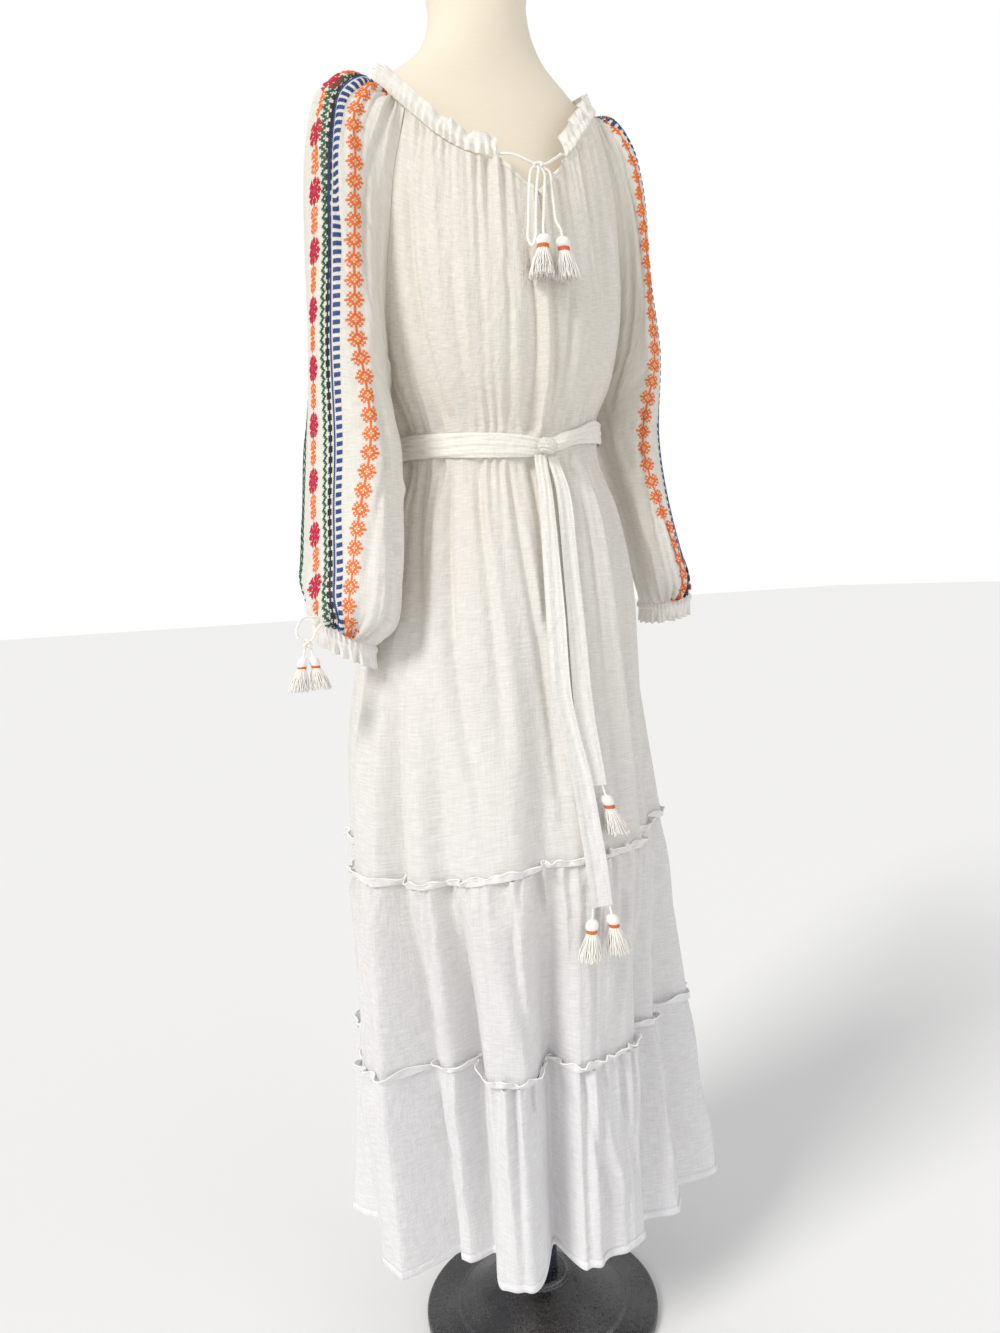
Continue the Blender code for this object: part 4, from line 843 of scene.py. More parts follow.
for name, back_panel, columns in (("panel_front", False, 306), ("panel_back", True, 224)):
    angles, heights = panel_rows(back_panel, columns)
    edge = np.minimum(np.arange(columns), np.arange(columns)[::-1])
    seam = 0.0009 * np.exp(-((edge - 2.0) / 1.6) ** 2) * (heights > UNDERARM_Z)
    points = at_angle(cloth_reach(angles, heights) - CLOTH_INSET - seam, angles, heights)
    sheet(name + "_gauze", points)
    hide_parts(name)

# Bound edges of the slit
for side in (-1, 1):
    at = np.linspace(NECK_OPENING_ANGLE, 0.3, 40) * side
    edge = neck_height(at) - slit_drop(at)
    rows = np.array([at_angle(cloth_reach(at, edge - drop) + lift, at, edge - drop)
                     for drop, lift in ((-0.0008, -0.0002), (-0.0002, 0.0008), (0.0045, 0.0010),
                                        (0.0052, 0.0))])
    sheet("slit_binding_left" if side > 0 else "slit_binding_right",
                          rows if side < 0 else rows[:, ::-1], DOUBLE_GAUZE_PAINTED_SHADE)


# Sleeves
# One wide piece of the same gauze each side, cut with a raglan cap, gathered into the neck casing above and
# into a corded casing at the wrist, and closed by a seam under the arm.
SLEEVE_CAP = (
    (0.166, 0.158, 0.000, 1.534, 0.068), (0.195, 0.178, 0.001, 1.521, 0.072),
    (0.214, 0.189, 0.002, 1.480, 0.076), (0.222, 0.193, 0.003, 1.420, 0.078),
    (0.226, 0.197, 0.004, 1.340, 0.080), (0.230, 0.207, 0.005, 1.255, 0.082),
)
RIGHT_SLEEVE = (
    (1.120, 0.1470, 0.236, 0.006, 0.090, 3.0, 0.0), (1.050, 0.1540, 0.243, 0.010, 0.096, 4.0, 0.0),
    (0.985, 0.1620, 0.250, 0.020, 0.096, 5.0, 0.20), (0.948, 0.1680, 0.257, 0.030, 0.082, 5.0, 0.45),
)
LEFT_SLEEVE = (
    (1.120, 0.1520, 0.221, 0.004, 0.080, 17.0, 0.0), (1.050, 0.1700, 0.230, 0.008, 0.082, 20.0, 0.0),
    (0.990, 0.1840, 0.241, 0.014, 0.080, 20.0, 0.10), (0.955, 0.1900, 0.249, 0.020, 0.064, 18.0, 0.20),
)
# Centre out, forward and up, half length along the dip and across it, bearing of the dip, dip
RIGHT_CUFF = (0.2240, 0.040, 0.915, 0.039, 0.038, 64.0, 28.0)
LEFT_CUFF = (0.2210, 0.024, 0.929, 0.033, 0.034, -64.0, 12.0)
SLEEVE_COLUMNS = 156


def raglan_point(row, side, back_edge):
    height, front_angle, back_angle = RAGLAN_PATH[row]
    angle = side * (back_angle if back_edge else front_angle)
    return at_angle(main_reach(angle, height), angle, height)


def sleeve_row(inner, outer, front, depth, half_gap):
    """Part of an ellipse from the back edge over the outer side to the front edge."""
    along = outer - inner
    length = np.linalg.norm(along)
    along = along / length
    end = math.pi - math.asin(min(half_gap, depth * 0.999) / depth)
    lateral = length / (1.0 - math.cos(end))
    centre = inner - along * lateral * math.cos(end)
    turns = end * np.linspace(-1, 1, SLEEVE_COLUMNS + 1)
    return centre + np.outer(np.cos(turns), along) * lateral + np.outer(np.sin(turns), front) * depth


def cuff_rings(cuff, side, turns, grow, drop):
    """A ring round the cuff, which dips toward one bearing. grow and drop may vary round it."""
    out, ahead, height, along, across, bearing, dip = cuff
    turn = math.radians(bearing)
    slope = np.array([math.sin(turn), -math.cos(turn), 0.0]) * math.cos(math.radians(dip))
    slope[2] = -math.sin(math.radians(dip))
    level = np.array([math.cos(turn), math.sin(turn), 0.0])
    centre = np.array([side * out, -ahead, height])
    ring = centre + np.outer((along + grow) * np.cos(turns), slope)
    ring = ring + np.outer((across + grow) * np.sin(turns), level)
    ring[:, 2] -= drop
    return ring


def cuff_edge(row, cuff, side):
    """The casing's ring, each point where the sleeve's row above it is nearest."""
    ring = cuff_rings(cuff, side, np.linspace(-math.pi, math.pi, 720, endpoint=False), 0.0, 0.0)
    centre, middle = ring.mean(axis=0), row[:-1].mean(axis=0)
    around = np.arctan2(ring[:, 1] - centre[1], ring[:, 0] - centre[0])
    wanted = np.arctan2(row[:, 1] - middle[1], row[:, 0] - middle[0])
    away = np.abs((around[None, :] - wanted[:, None] + math.pi) % (2 * math.pi) - math.pi)
    found = ring[away.argmin(axis=1)]
    found[-1] = found[0]
    return found


# Creases of a sleeve: share across it from the back edge to the front and share down it at both ends, half
# width across, and depth in units of SLEEVE_CREASE_UNIT
SLEEVE_CREASE_UNIT, CRUMPLE_UNIT = 0.0013, 0.0015
SLEEVE_CREASES = (
    (0.88, 0.08, 0.8, 0.42, 0.016, -4), (0.93, 0.14, 0.9, 0.6, 0.014, -3.6),
    (0.84, 0.3, 0.72, 0.66, 0.02, 3), (0.66, 0.1, 0.7, 0.44, 0.018, -3),
    (0.74, 0.55, 0.86, 0.93, 0.02, -4.6), (0.9, 0.62, 0.84, 0.95, 0.022, 3.4),
    (0.6, 0.06, 0.63, 0.3, 0.016, 2), (0.8, 0.66, 0.66, 0.9, 0.016, -2.6),
    (0.48, 0.05, 0.46, 0.26, 0.018, -1.8), (0.4, 0.1, 0.34, 0.48, 0.02, -3.2),
    (0.28, 0.12, 0.24, 0.5, 0.022, 3), (0.2, 0.1, 0.14, 0.56, 0.018, -4), (0.1, 0.2, 0.08, 0.6, 0.018, 2.6),
    (0.3, 0.54, 0.18, 0.92, 0.022, -4.2), (0.14, 0.62, 0.22, 0.95, 0.022, 3.4),
    (0.38, 0.6, 0.36, 0.9, 0.02, 2.6), (0.06, 0.5, 0.1, 0.94, 0.016, -3),
    (0.94, 0.5, 0.92, 0.9, 0.014, -3.2),
)
# Short soft crumples across a sleeve: share across, share down, half size along and across, slant, and depth
# in units of CRUMPLE_UNIT
SLEEVE_CRUMPLES = (
    (0.84, 0.24, 0.055, 0.01, 0.5, -1.6), (0.72, 0.34, 0.05, 0.009, -0.4, -1.4),
    (0.92, 0.44, 0.04, 0.01, 0.3, 1.4), (0.8, 0.52, 0.06, 0.012, 0.4, -2),
    (0.7, 0.64, 0.05, 0.01, -0.5, -1.6), (0.88, 0.74, 0.05, 0.012, -0.3, 1.8),
    (0.78, 0.82, 0.05, 0.01, 0.5, -2), (0.24, 0.26, 0.06, 0.01, -0.5, -1.8),
    (0.16, 0.4, 0.05, 0.011, 0.4, 1.6), (0.3, 0.5, 0.055, 0.01, 0.3, -1.8),
    (0.2, 0.66, 0.06, 0.012, -0.4, 2), (0.12, 0.8, 0.05, 0.011, 0.3, -1.8),
)


def sleeve_folds(across, down, length, phase):
    """How far a sleeve's cloth stands from its plain form, over shares across and down it."""
    below, above = down * length, (1 - down) * length
    total = 0.0 * across * down
    for waves, size, fade, shift in ((33, 0.0021, 0.036, 0.4), (14, 0.0031, 0.095, 1.9)):
        for distance, more in ((below, 0.0), (above, 2.0)):
            place = waves * 2 * math.pi * across + 2.0 * np.sin(9 * across + shift + more + phase)
            wave = np.cos(place) + 0.4 * np.cos(1.62 * place + 3 * np.sin(7 * across + shift))
            reaching = fade * (1 + 0.35 * np.sin(17 * across + more))
            total = total + size * wave * np.exp(-distance / reaching)
    for first, high, second, low, width, depth in SLEEVE_CREASES:
        share = (down - high) / (low - high)
        middle = first + (second - first) * np.clip(share, -0.1, 1.1)
        middle = middle + 0.006 * np.sin(6 * share + phase + first)
        fade = ease((share + 0.1) / 0.3) * ease((1.1 - share) / 0.35)
        total = total + SLEEVE_CREASE_UNIT * depth * fade * np.exp(-(((across - middle) / width) ** 2))
    for x, y, size, thin, slant, depth in SLEEVE_CRUMPLES:
        u, v = across - x + 0.01 * phase, down - y
        shape = -((u / size) ** 2) - (((v - slant * u * 0.4) / thin) ** 2)
        total = total + CRUMPLE_UNIT * depth * np.exp(shape)
    return total


def surface_normals(points):
    """Outward normals of rows of points that run downward and counter-clockwise."""
    normals = np.cross(np.gradient(points, axis=0), np.gradient(points, axis=1))
    return unit(normals)


def sleeve_surface(side, tube_rows, cuff):
    """Rows of a sleeve from the neck to the wrist, each from the back edge over the outside to the front."""
    turns = side * np.linspace(BACK_RAGLAN_ANGLE, FRONT_RAGLAN_ANGLE, SLEEVE_COLUMNS + 1)
    rows = [at_angle(cloth_reach(turns, neck_height(turns)), turns, neck_height(turns))]
    for i, (right_out, left_out, ahead, height, depth) in enumerate(SLEEVE_CAP, start=1):
        front_point, back_point = raglan_point(i, side, False), raglan_point(i, side, True)
        gap = np.linalg.norm(front_point - back_point)
        half = gap / 2 - 0.0005 if i < len(SLEEVE_CAP) else 0.0
        inner = (front_point + back_point) / 2 + np.array([0 if half else side * 0.0015, 0, 0])
        outer = np.array([side * (right_out if side < 0 else left_out), -ahead, height])
        front = (front_point - back_point) / gap
        rows.append(sleeve_row(inner, outer, front, max(depth, half * 1.02), half))
    bearing = math.radians(cuff[5])
    for height, inner_x, outer_x, ahead, depth, turn, slope in tube_rows:
        lean = math.radians(turn)
        middle = np.array([side * (inner_x + outer_x) / 2, -ahead, height])
        reach = np.array([side * math.cos(lean), -math.sin(lean), 0.0]) * (outer_x - inner_x) / 2
        front = np.array([-side * math.sin(lean), -math.cos(lean), 0.0])
        row = sleeve_row(middle - reach, middle + reach, front, depth, 0.0)
        offset = row - middle
        row[:, 2] -= slope * (offset[:, 0] * math.sin(bearing) - offset[:, 1] * math.cos(bearing))
        rows.append(row)
    rows.append(cuff_edge(rows[-1], cuff, side))
    rows = np.array(rows)
    steps = np.concatenate([[0.0], np.cumsum(np.linalg.norm(np.diff(rows, axis=0), axis=2).mean(axis=1))])
    fine = np.linspace(0, steps[-1], 176)
    slopes = np.gradient(rows, steps, axis=0)
    i = np.clip(np.searchsorted(steps, fine, side="right") - 1, 0, len(steps) - 2)
    width = (steps[i + 1] - steps[i])[:, None, None]
    part = ((fine - steps[i]) / (steps[i + 1] - steps[i]))[:, None, None]
    surface = between(part, width, rows[i], rows[i + 1], slopes[i], slopes[i + 1])
    # The edges of the cap meet the body's raglan seams exactly, and the cloth beside them follows
    share = np.linspace(0, 1, SLEEVE_COLUMNS + 1)
    cap = np.nonzero(fine < steps[len(SLEEVE_CAP)])[0]
    for column, back_edge, weight in ((0, True, ease(1 - share / 0.12)),
                                      (-1, False, ease(1 - (1 - share) / 0.12))):
        level = surface[cap, column, 2]
        angle = side * through(level, RAGLAN_PATH, 2 if back_edge else 1)
        goal = at_angle(cloth_reach(angle, level), angle, level)
        surface[cap] += (goal - surface[cap, column])[:, None, :] * weight[None, :, None]
    across, down = np.meshgrid(share, fine / fine[-1])
    normals = surface_normals(surface) * -side
    calm = ease(np.minimum(across, 1 - across) / 0.07) * ease(down / 0.01) * ease((1 - down) / 0.01)
    folds = sleeve_folds(across, down, steps[-1], 0.0 if side < 0 else 1.4) * calm
    return surface + normals * folds[..., None]


sleeves, sleeve_pieces = {}, {}
for name, side, tube_rows, cuff in (("sleeve_right", -1, RIGHT_SLEEVE, RIGHT_CUFF),
                                    ("sleeve_left", 1, LEFT_SLEEVE, LEFT_CUFF)):
    surface = sleeve_surface(side, tube_rows, cuff)
    sleeves[side] = surface
    sleeve_pieces[side] = sheet(name + "_gauze", surface if side < 0 else surface[:, ::-1])
    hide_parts(name)


# Embroidery
# Counted cross stitch in stranded cotton, run down both sleeves: a centre column of red rosettes with orange
# scrolls, and to the front and back of it a green zigzag, a navy cable, a blue toothed stripe and a chain of
# orange flowers. Each cross is two short threads laid over one another.
CELL = 0.0023
ROSETTE_HALF = ("......r......", "...r.rrr.r...", "..rr.rrr.rr..", ".rrrr.r.rrrr.", "...rrrrrrr...",
                ".rr.rrmrr.rr.", "rrrrrmmmrrrrr")
SCROLL_HALF = ("......o......", "....oo.oo....", "...o..o..o...", "....o.o.o....", "...ooo.ooo...",
               "......o......", "....ooooo....")
ROSETTES = ROSETTE_HALF + ROSETTE_HALF[-2::-1] + SCROLL_HALF + SCROLL_HALF[-2::-1] + (".............",)
FLOWERS = ("....o....", "..o.o.o..", ".o.ooo.o.", "..oo.oo..", "ooo.y.ooo", "..oo.oo..", ".o.ooo.o.",
           "..o.o.o..", "....o....")
ZIGZAG = ("gg..", ".gg.", "..gg", ".gg.")
CABLE = (".k.", "kkk", "kkk", "kkk", ".k.")
TEETH = ("b.bbbb", "b.bbbb", "b.....", "b.....")
# Bands by height and distance forward of the sleeve's outer line, in millimetres
CENTRE_BAND = ((1.545, 36), (1.473, 35), (1.411, 33), (1.355, 27), (1.297, 21), (1.236, 13), (1.175, 6),
               (1.114, 0), (1.052, 2), (0.991, 9), (0.900, 11))
ZIGZAG_BAND = ((1.545, 44), (1.493, 47), (1.431, 54), (1.363, 53), (1.275, 44), (1.169, 35), (1.060, 32),
               (0.973, 35), (0.900, 36))
CABLE_BAND = ((1.545, 51), (1.506, 54), (1.451, 62), (1.362, 61), (1.272, 54), (1.167, 45), (1.059, 43),
              (0.962, 44), (0.900, 44))
TEETH_BAND = ((1.545, 62), (1.506, 65), (1.451, 73), (1.362, 72), (1.271, 66), (1.165, 58), (1.058, 56),
              (0.961, 56), (0.900, 56))
CHAIN_BAND = ((1.545, 66), (1.517, 76), (1.468, 95), (1.427, 113), (1.364, 119), (1.305, 106), (1.251, 96),
              (1.183, 97), (1.108, 98), (1.055, 91), (0.992, 80), (0.945, 74), (0.900, 70))
THREAD_COLOURS = {
    "r": ("crimson", (0.62, 0.012, 0.035), (0.36, 0.005, 0.02)),
    "m": ("magenta", (0.62, 0.05, 0.30), (0.36, 0.02, 0.18)),
    "o": ("orange", (0.95, 0.20, 0.004), (0.72, 0.10, 0.002)),
    "y": ("light_orange", (0.98, 0.42, 0.06), (0.85, 0.25, 0.02)),
    "g": ("green", (0.018, 0.135, 0.055), (0.008, 0.06, 0.025)),
    "k": ("navy", (0.006, 0.007, 0.018), (0.002, 0.003, 0.008)),
    "b": ("blue", (0.018, 0.065, 0.26), (0.008, 0.03, 0.14)),
}
THREAD = {mark: fibrous("thread_" + word, colour, dark, 1500.0, (1, 1, 1), 0.5, 0.55, 0.5)
          for mark, (word, colour, dark) in THREAD_COLOURS.items()}
# The bands behind the centre lie this much nearer the back, and stitches keep this clear of the edges
MIRROR_SHIFT, EDGE_MARGIN = 0.016, 0.004
BAND_START, BAND_END = 0.007, 0.004
THREAD_HALF_WIDTH = 0.00062


def stitched(surface, side, band, chart, mirrored, stitches):
    """Adds the crosses of one band: for each, its centre, and its two directions on the cloth."""
    count = surface.shape[0]
    steps = np.linalg.norm(np.diff(surface, axis=1), axis=2)
    arcs = np.concatenate([np.zeros((count, 1)), np.cumsum(steps, axis=1)], axis=1)
    arcs = arcs - arcs[:, SLEEVE_COLUMNS // 2][:, None]
    sign = -1.0 if mirrored else 1.0
    outer = surface[:, SLEEVE_COLUMNS // 2, 2].copy()
    middles = np.zeros(count)
    for _ in range(4):
        middles = sign * 0.001 * through(outer, band, 1) - (MIRROR_SHIFT if mirrored else 0.0)
        outer = np.array([np.interp(middles[i], arcs[i], surface[i, :, 2]) for i in range(count)])

    def at(row, arc):
        low = np.clip(np.floor(row).astype(int), 0, count - 2)
        share = (row - low)[:, None]
        ends = []
        for rows in (low, low + 1):
            ends.append(np.array([[np.interp(a, arcs[r], surface[r, :, axis]) for axis in range(3)]
                                  for r, a in zip(rows, arc)]))
        return ends[0] * (1 - share) + ends[1] * share

    number = np.arange(count)
    line = at(number * 0.999, middles)
    beyond = at(number * 0.999, middles + 0.002)
    travelled = distances(line)
    tangents = unit(np.gradient(line, axis=0))
    # Where the band's middle is past the sleeve's edge, beyond and line are one point and have no direction
    lean = (tangents * unit(beyond - line)).sum(axis=1)
    start, end = BAND_START, travelled[-1] - BAND_END
    wide = len(chart[0])
    for step in range(int((end - start) / CELL)):
        cells = [(c, mark) for c, mark in enumerate(chart[step % len(chart)]) if mark != "."]
        if not cells:
            continue
        # A cell's place square to the band, also where the rows cross the band at a slant
        along = start + step * CELL
        slant = float(np.clip(np.interp(along, travelled, lean), -0.85, 0.85))
        root = math.sqrt(1 - slant * slant)
        shift = np.array([sign * (c - (wide - 1) / 2) * CELL for c, _ in cells])
        rows = np.interp(along - shift * slant / root, travelled, number)
        arc = np.interp(rows, number, middles) + shift / root
        here = at(rows, arc)
        level = at(rows, arc + 0.5 * CELL) - at(rows, arc - 0.5 * CELL)
        below = at(np.clip(rows + 0.5, 0, count - 1.001), arc) - at(np.clip(rows - 0.5, 0, count - 1.5), arc)
        away = unit(np.cross(below, level))
        tangent = np.array([np.interp(along, travelled, tangents[:, axis]) for axis in range(3)])
        down = unit(tangent - away * (away @ tangent)[:, None])
        on = np.cross(away, down)
        row = np.clip(np.round(rows).astype(int), 0, count - 1)
        inside = (arc > arcs[row, 0] + EDGE_MARGIN) & (arc < arcs[row, -1] - EDGE_MARGIN)
        inside &= (rows > 0.5) & (rows < count - 1.5)
        for (c, mark), centre, u, v, kept in zip(cells, here, on, down, inside):
            if kept:
                stitches.setdefault(mark, []).append((centre, u * CELL, v * CELL))


def crosses(name, stitches, material, side):
    """Each stitch as two roofed threads, from corner to corner of its cell."""
    rng = np.random.default_rng(len(stitches))
    points, faces = [], []
    for centre, u, v in stitches:
        away = np.cross(v, u) * -side
        away = away / max(np.linalg.norm(away), 1e-9)
        for turn, lift in ((1, 0.00025), (-1, 0.00045)):
            along = (u + turn * v) * (0.53 + 0.03 * rng.random())
            beside = np.cross(away, along)
            beside = beside / max(np.linalg.norm(beside), 1e-9) * THREAD_HALF_WIDTH
            base = len(points)
            for end in (-1, 1):
                at = centre + along * end + away * 0.0001
                points += [at - beside, at + away * (lift + 0.0003), at + beside]
            faces += [(base, base + 3, base + 4, base + 1), (base + 1, base + 4, base + 5, base + 2)]
    return add_mesh(name, points, faces, material)


SIDE_BANDS = ((ZIGZAG_BAND, ZIGZAG), (CABLE_BAND, CABLE), (TEETH_BAND, TEETH), (CHAIN_BAND, FLOWERS))
for side, word in ((-1, "right"), (1, "left")):
    stitches = {}
    stitched(sleeves[side], side, CENTRE_BAND, ROSETTES, False, stitches)
    for mirrored in (False, True):
        for band, chart in SIDE_BANDS:
            stitched(sleeves[side], side, band, chart, mirrored, stitches)
    worked = [crosses("embroidery_" + THREAD_COLOURS[mark][0] + "_" + word, found, THREAD[mark], side)
              for mark, found in stitches.items()]


# Neck frill
# A strip of gauze folded along its top, stitched twice to hold the drawstring and drawn up into small
# pleats. Above the casing it stands as a ruffle.
start = NECK_OPENING_ANGLE + 1.0
around = np.linspace(start, 360.0 - start, 900)
a = np.radians(around)
pleats = np.cos(104 * a + 2.4 * np.sin(7 * a) + 1.1 * np.sin(17 * a))
ruffles = np.cos(37 * a + 1.9 * np.sin(5 * a)) + 0.45 * np.cos(63 * a + 2 * np.sin(9 * a))
edge = at_angle(main_reach(around, neck_height(around)), around, neck_height(around))
away = at_angle(1.0 + 0 * around, around, 0.0 * around)
rows = []
for rise in (0.0262, 0.0258, 0.0245, 0.0225, 0.0205, 0.0185, 0.0165, 0.0148, 0.0136, 0.0128, 0.0118, 0.0100,
             0.0080, 0.0060, 0.0042, 0.0028, 0.0019, 0.0011):
    out = through(rise, ((0.0011, 0.0), (0.013, -0.0020), (0.026, -0.0090)), 1)
    casing = max(0.0, math.sin(math.pi * min(rise / 0.0128, 1.0)))
    free = float(ease((rise - 0.0125) / 0.0135))
    swing = 0.0014 * casing + 0.0019 * pleats * (1 - 0.5 * free) * (0.5 + casing) + 0.0032 * ruffles * free
    rows.append(edge + away * (out + swing)[:, None] + np.array([0, 0, 1.0]) * rise
                + np.array([0, 0, 1.0]) * (0.0016 * ruffles * free)[:, None])
piece = sheet("neck_frill_gauze", np.array(rows), DOUBLE_GAUZE_PAINTED_SHADE)
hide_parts("neck_frill")
frill_edge = tube("neck_frill_edge", rows[0], lambda i, d, turns: 0.00055, 5, DOUBLE_GAUZE_PAINTED_SHADE)


# Cuff casings and frills
# A narrow corded casing at each wrist, with a short pleated frill below it and a turned hem.
for name, side, cuff in (("cuff_frill_right", -1, RIGHT_CUFF), ("cuff_frill_left", 1, LEFT_CUFF)):
    turns = np.linspace(-math.pi, math.pi, 480, endpoint=False)
    pleats = np.cos(42 * turns + 1.6 * np.sin(3 * turns))
    ruffles = np.cos(17 * turns + 1.4 * np.sin(4 * turns + side)) + 0.4 * np.cos(29 * turns)
    rows = []
    for drop in (0.0002, 0.0010, 0.0020, 0.0035, 0.0052, 0.0068, 0.0080, 0.0088, 0.0096, 0.0115, 0.0140,
                 0.0170, 0.0200, 0.0225, 0.0240, 0.0250):
        casing = max(0.0, math.sin(math.pi * min(drop / 0.0088, 1.0)))
        free = float(ease((drop - 0.0088) / 0.014))
        grow = 0.0012 * casing - 0.0018 * free + 0.0011 * pleats * (0.4 + casing) + 0.0027 * ruffles * free
        rows.append(cuff_rings(cuff, side, turns, grow, drop + 0.0006 * ruffles * free))
    points = np.array(rows)
    area = surface_normals(points)[2, 0] @ (points[2, 0] - points[2].mean(axis=0))
    piece = sheet(name + "_gauze", points if area > 0 else points[:, ::-1], DOUBLE_GAUZE_PAINTED_SHADE, closed=True)
    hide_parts(name)
    closed_edge = np.concatenate([points[-1], points[-1][:2]])
    rim = tube(name + "_edge", closed_edge, lambda i, d, turns: 0.0005, 5, DOUBLE_GAUZE_PAINTED_SHADE)


# Skirt tiers
# Two gathered tiers of the same gauze, front and back, seamed at the sides. Each is drawn up along its top
# to the edge above, and the lower one ends in a narrow double hem.
SKIRT_SPANS = {"front": (SIDE_SEAM_RIGHT + 0.06, SIDE_SEAM_LEFT - 0.06),
               "back": (SIDE_SEAM_LEFT + 0.06, SIDE_SEAM_RIGHT + 359.94)}
for place, (first, final) in SKIRT_SPANS.items():
    angles = np.linspace(first, final, 400)[None, :]
    for level, seam, foot, shift in (("middle", upper_seam_height(angles), LOWER_SEAM_Z + 0 * angles, 0.3),
                                     ("bottom", LOWER_SEAM_Z + 0 * angles, HEM_Z + 0 * angles, 1.7)):
        share = np.linspace(0, 1, 56)[:, None] ** 1.15
        heights = (seam - 0.0005) * (1 - share) + foot * share
        around = angles + 0 * heights
        reach = tier_reach(around, heights, seam, shift)
        points = at_angle(reach - CLOTH_INSET, around, heights)
        piece = sheet("tier_" + level + "_" + place + "_gauze", points)
        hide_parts("tier_" + level + "_" + place)
    hem = []
    for rise, out in ((0.0102, 0.0), (0.0100, 0.0009), (0.0050, 0.0011), (0.0006, 0.0010), (0.0002, 0.0002)):
        around = angles[0]
        height = HEM_Z + rise + 0 * around
        reach = tier_reach(around, height, LOWER_SEAM_Z, 1.7)
        hem.append(at_angle(reach + out, around, height))
    hem_fold = sheet("hem_fold_" + place, np.array(hem), DOUBLE_GAUZE_PAINTED_SHADE)


# Seam frills
# The gathered tops of the tiers stand out from their seams as small wavy headers. Each has a white
# overlocked edge.
OVERLOCK = fibrous("overlock_thread", (0.97, 0.96, 0.93), (0.86, 0.84, 0.80), 1400.0, (1, 1, 1), 0.4, 0.75,
                   0.5)


def square_out(row):
    """Level directions square to a row of points, smoothed over the folds."""
    along = np.gradient(row[:, :2], axis=0)
    kernel = np.ones(9) / 9
    along = unit(np.stack([np.convolve(np.pad(along[:, k], 4, mode="edge"), kernel, mode="valid")
                           for k in (0, 1)], axis=1))
    return np.stack([along[:, 1], -along[:, 0], 0 * along[:, 0]], axis=1)


for place, (first, final) in SKIRT_SPANS.items():
    around = np.linspace(first, final, 800)
    a = np.radians(around)
    ends = ease(np.minimum(around - first, final - around) / 2.0)
    for level, seam, phase in (("upper", upper_seam_height(around), 0.0),
                               ("lower", LOWER_SEAM_Z + 0 * around, 2.0)):
        waves = np.cos(47 * a + 2.6 * np.sin(6 * a + phase) + 1.4 * np.sin(15 * a + phase))
        waves = waves + 0.5 * np.cos(83 * a + 2.2 * np.sin(8 * a + phase))
        curl = np.sin(47 * a + 2.6 * np.sin(6 * a + phase) + 0.9) + 0.5 * np.sin(71 * a + 2 * np.sin(5 * a))
        tall = 0.0080 + 0.0010 * np.sin(9 * a + phase) + 0.0019 * curl
        rows = []
        for share in (1.0, 0.86, 0.7, 0.52, 0.34, 0.18, 0.06, 0.0):
            height = seam + tall * share
            reach = main_reach(around, height)
            base = at_angle(reach, around, height)
            out = 0.0022 + 0.0028 * share + 0.0036 * ends * waves * share ** 1.2
            rows.append(base + square_out(base) * np.maximum(out, 0.0012)[:, None])
        name = "seam_frill_" + level + "_" + place
        piece = sheet(name + "_gauze", np.array(rows), DOUBLE_GAUZE_PAINTED_SHADE)
        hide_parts(name)
        thread = tube(name + "_overlock", rows[0],
                      lambda i, d, turns: 0.00085 + 0.00015 * np.cos(4 * turns + 2600 * d), 5, OVERLOCK)


# Belt
# A soft sash of doubled gauze wound once round the waist and tied at the centre front. Its two ends hang
# down the skirt, and it has creased lengthwise where it was drawn tight.
BELT_THICKNESS = 0.0016
BELT_WIDTHS = ((0.0, 0.62), (4.0, 0.60), (14.0, 0.72), (22.0, 0.66), (38.0, 0.94), (60.0, 1.0), (300.0, 1.0),
               (340.0, 0.98), (352.0, 0.86), (360.0, 0.66))
SASH = gauze("gauze_sash", (0.95, 0.925, 0.855), (0.88, 0.845, 0.765), 0.06)


def belt_reach(angle, height):
    return body_reach(angle, height) + 1.3 * 0.0014 + 0.0008 + BELT_THICKNESS


around = np.linspace(0.8, 359.2, 620)
a = np.radians(around)
rows = []
for rise in np.linspace(1, -1, 27):
    half = BELT_WIDTH / 2 * through(around, BELT_WIDTHS, 1)
    height = belt_middle(around) + rise * half
    crease = 0.0004 * np.cos(9.5 * rise + 1.4 * np.sin(3 * a) + 0.7 * np.sin(11 * a)) + 0.00035 * np.cos(
        17 * rise + 2.2 * np.sin(5 * a + 1))
    twist = np.exp(-(((around - 14) / 9) ** 2)) * 0.0022 * np.cos(2.6 * rise - (around - 14) / 5)
    rolled = -0.0016 * abs(rise) ** 8
    rows.append(at_angle(belt_reach(around, height) + crease + twist + rolled, around, height))
belt = sheet("belt_sash", np.array(rows), SASH)
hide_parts("belt_band")

theta, phi = np.meshgrid(np.linspace(0.02, math.pi - 0.02, 44),
                         np.linspace(0, 2 * math.pi, 72, endpoint=False), indexing="ij")
wrap = 0.92 + 0.07 * np.cos(5.0 * np.cos(theta) * 3.1 + 1.5 * np.sin(phi))
wrap = wrap + 0.05 * np.cos(3 * phi + 4 * np.cos(theta))
x, y, z = (0.0130 * wrap * np.sin(theta) * np.cos(phi), 0.0080 * wrap * np.sin(theta) * np.sin(phi),
           0.0098 * wrap * np.cos(theta))
tilt = math.radians(-12)
points = np.stack([x * math.cos(tilt) - z * math.sin(tilt), y - 0.1263,
                   x * math.sin(tilt) + z * math.cos(tilt) + 1.110], axis=-1)
knot = add_mesh("belt_knot_cloth", points.reshape(-1, 3), grid_faces(*theta.shape, closed=True), SASH,
                np.stack([0.04 * phi, 0.02 * theta], axis=-1).reshape(-1, 2))
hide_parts("belt_knot")

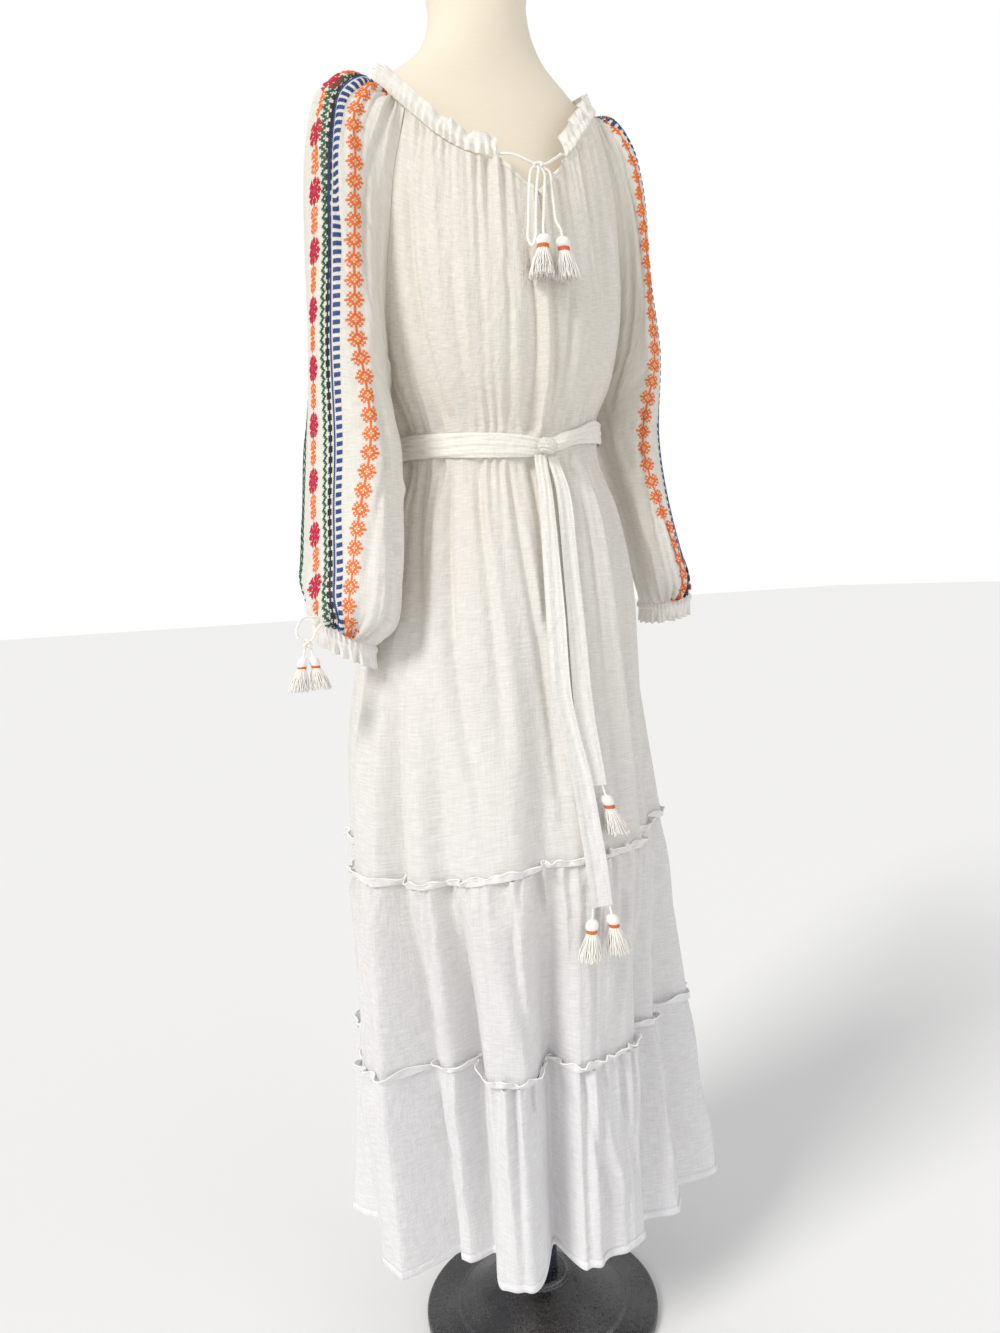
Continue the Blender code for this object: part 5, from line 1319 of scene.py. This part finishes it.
# Height, bearing of the middle, half width and distance from the cloth, down each hanging end
LONG_TAIL = (
    (1.1010, -3.0, 0.0075, 0.0064), (1.070, -4.0, 0.0080, 0.0100), (1.040, -5.0, 0.0088, 0.0080),
    (1.000, -5.8, 0.0095, 0.0065), (0.927, -7.1, 0.0110, 0.0065), (0.829, -8.0, 0.0115, 0.0085),
    (0.740, -4.3, 0.0125, 0.0122), (0.679, -2.7, 0.0130, 0.0125), (0.627, -1.4, 0.0130, 0.0125),
    (0.600, -0.6, 0.0130, 0.0120),
)
SHORT_TAIL = (
    (1.0992, 4.4, 0.0060, 0.0058), (1.070, 5.4, 0.0080, 0.0072), (1.040, 5.0, 0.0095, 0.0050),
    (1.010, 4.2, 0.0100, 0.0036), (0.925, 2.2, 0.0115, 0.0036), (0.826, 0.6, 0.0120, 0.0038),
    (0.732, 1.6, 0.0125, 0.0078),
)


def tail_surface(path, steps, phase):
    """A flat end of the sash that hangs just clear of the skirt, softly twisted and creased lengthwise."""
    height = np.linspace(path[0][0], path[-1][0], steps)
    bearing, half, out = (through(height, path, column) for column in (1, 2, 3))
    near = np.max([main_reach(bearing + turn, height) for turn in (-5.0, -2.5, 0.0, 2.5, 5.0)], axis=0)
    reach = near + out
    turn = np.radians(bearing)
    side = np.stack([np.cos(turn), np.sin(turn), 0 * turn], axis=1)
    front = np.stack([np.sin(turn), -np.cos(turn), 0 * turn], axis=1)
    centre = front * reach[:, None] + np.stack([0 * turn, 0 * turn, height], axis=1)
    rows = []
    for share in np.linspace(-1, 1, 17):
        down = (height[0] - height) / (height[0] - height[-1])
        lift = 0.0007 * np.cos(3.0 * share + phase + 4.0 * down) * (1 - 0.4 * down)
        lift = lift + 0.00035 * np.cos(8.0 * share + 3.0 * np.sin(4.0 * down + phase)) * (1 - 0.6 * down)
        lift = lift + 0.0009 * share * np.sin(7.0 * down + phase) - 0.0006 * (abs(share) < 0.5)
        rows.append(centre + side * (half * share)[:, None] + front * lift[:, None])
    return np.array(rows).transpose(1, 0, 2)


tails = {}
for name, path, steps, phase in (("belt_tail_long", LONG_TAIL, 200, 0.0),
                                 ("belt_tail_short", SHORT_TAIL, 150, 1.2)):
    surface = tail_surface(path, steps, phase)
    tails[name] = surface
    piece = sheet(name + "_cloth", surface, SASH)
    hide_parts(name)


def below_tail(name, share):
    row = tails[name][-1]
    return row[0] + (row[-1] - row[0]) * share + np.array([0.0, 0.0008, -0.0004])


# Tail and share across it, string, radii of the head and the skirt, whole length, lean, seed of its threads
BELT_TASSELS = {
    "belt_tassel_long_right": ("belt_tail_long", 0.10, 0.012, 0.0073, 0.0120, 0.056, (-0.006, 0.0), 21),
    "belt_tassel_long_left": ("belt_tail_long", 0.90, 0.010, 0.0073, 0.0125, 0.054, (0.010, 0.0), 22),
    "belt_tassel_short": ("belt_tail_short", 0.80, 0.011, 0.0073, 0.0120, 0.054, (0.014, -0.007), 23),
}
for name, (tail, share, *sizes) in BELT_TASSELS.items():
    tassel(name, below_tail(tail, share), *sizes)


# Studio floor and lights
# A plain white floor, a broad soft key from the photographer's left and a weak fill from the right, in an
# even white surround.
floor_material = shader("floor_white", (0.93, 0.93, 0.93), 0.9)
mesh = bpy.data.meshes.new("floor")
reach = 30.0
mesh.from_pydata([(-reach, -reach, -0.0005), (reach, -reach, -0.0005), (reach, reach, -0.0005),
                  (-reach, reach, -0.0005)], [], [(0, 1, 2, 3)])
mesh.materials.append(floor_material)
floor = bpy.data.objects.new("floor", mesh)
bpy.context.scene.collection.objects.link(floor)


def soft_sun(name, place, strength, spread, colour):
    light = bpy.data.lights.new(name, "SUN")
    light.energy = strength
    light.angle = math.radians(spread)
    light.color = colour
    obj = bpy.data.objects.new(name, light)
    obj.rotation_euler = (-Vector(place)).to_track_quat("-Z", "Y").to_euler()
    bpy.context.scene.collection.objects.link(obj)


soft_sun("key", (-1.0, -0.35, 0.75), 1.95, 20.0, (1.0, 0.985, 0.955))
soft_sun("fill", (0.55, -1.0, 0.35), 0.45, 70.0, (0.96, 0.975, 1.0))
world = bpy.data.worlds.new("studio")
world.use_nodes = True
tree = world.node_tree
WHITE = (1.0, 1.0, 1.0, 1.0)
plain, seen = tree.nodes["Background"], node(tree, "ShaderNodeBackground", Color=WHITE)
plain.inputs["Color"].default_value = WHITE
plain.inputs["Strength"].default_value = 0.56
path, mixed = node(tree, "ShaderNodeLightPath"), node(tree, "ShaderNodeMixShader")
connect(tree, (path, "Is Camera Ray", mixed, 0), (plain, 0, mixed, 1), (seen, 0, mixed, 2),
        (mixed, 0, tree.nodes["World Output"], "Surface"))
bpy.context.scene.world = world
bpy.context.scene.view_settings.view_transform = "Standard"
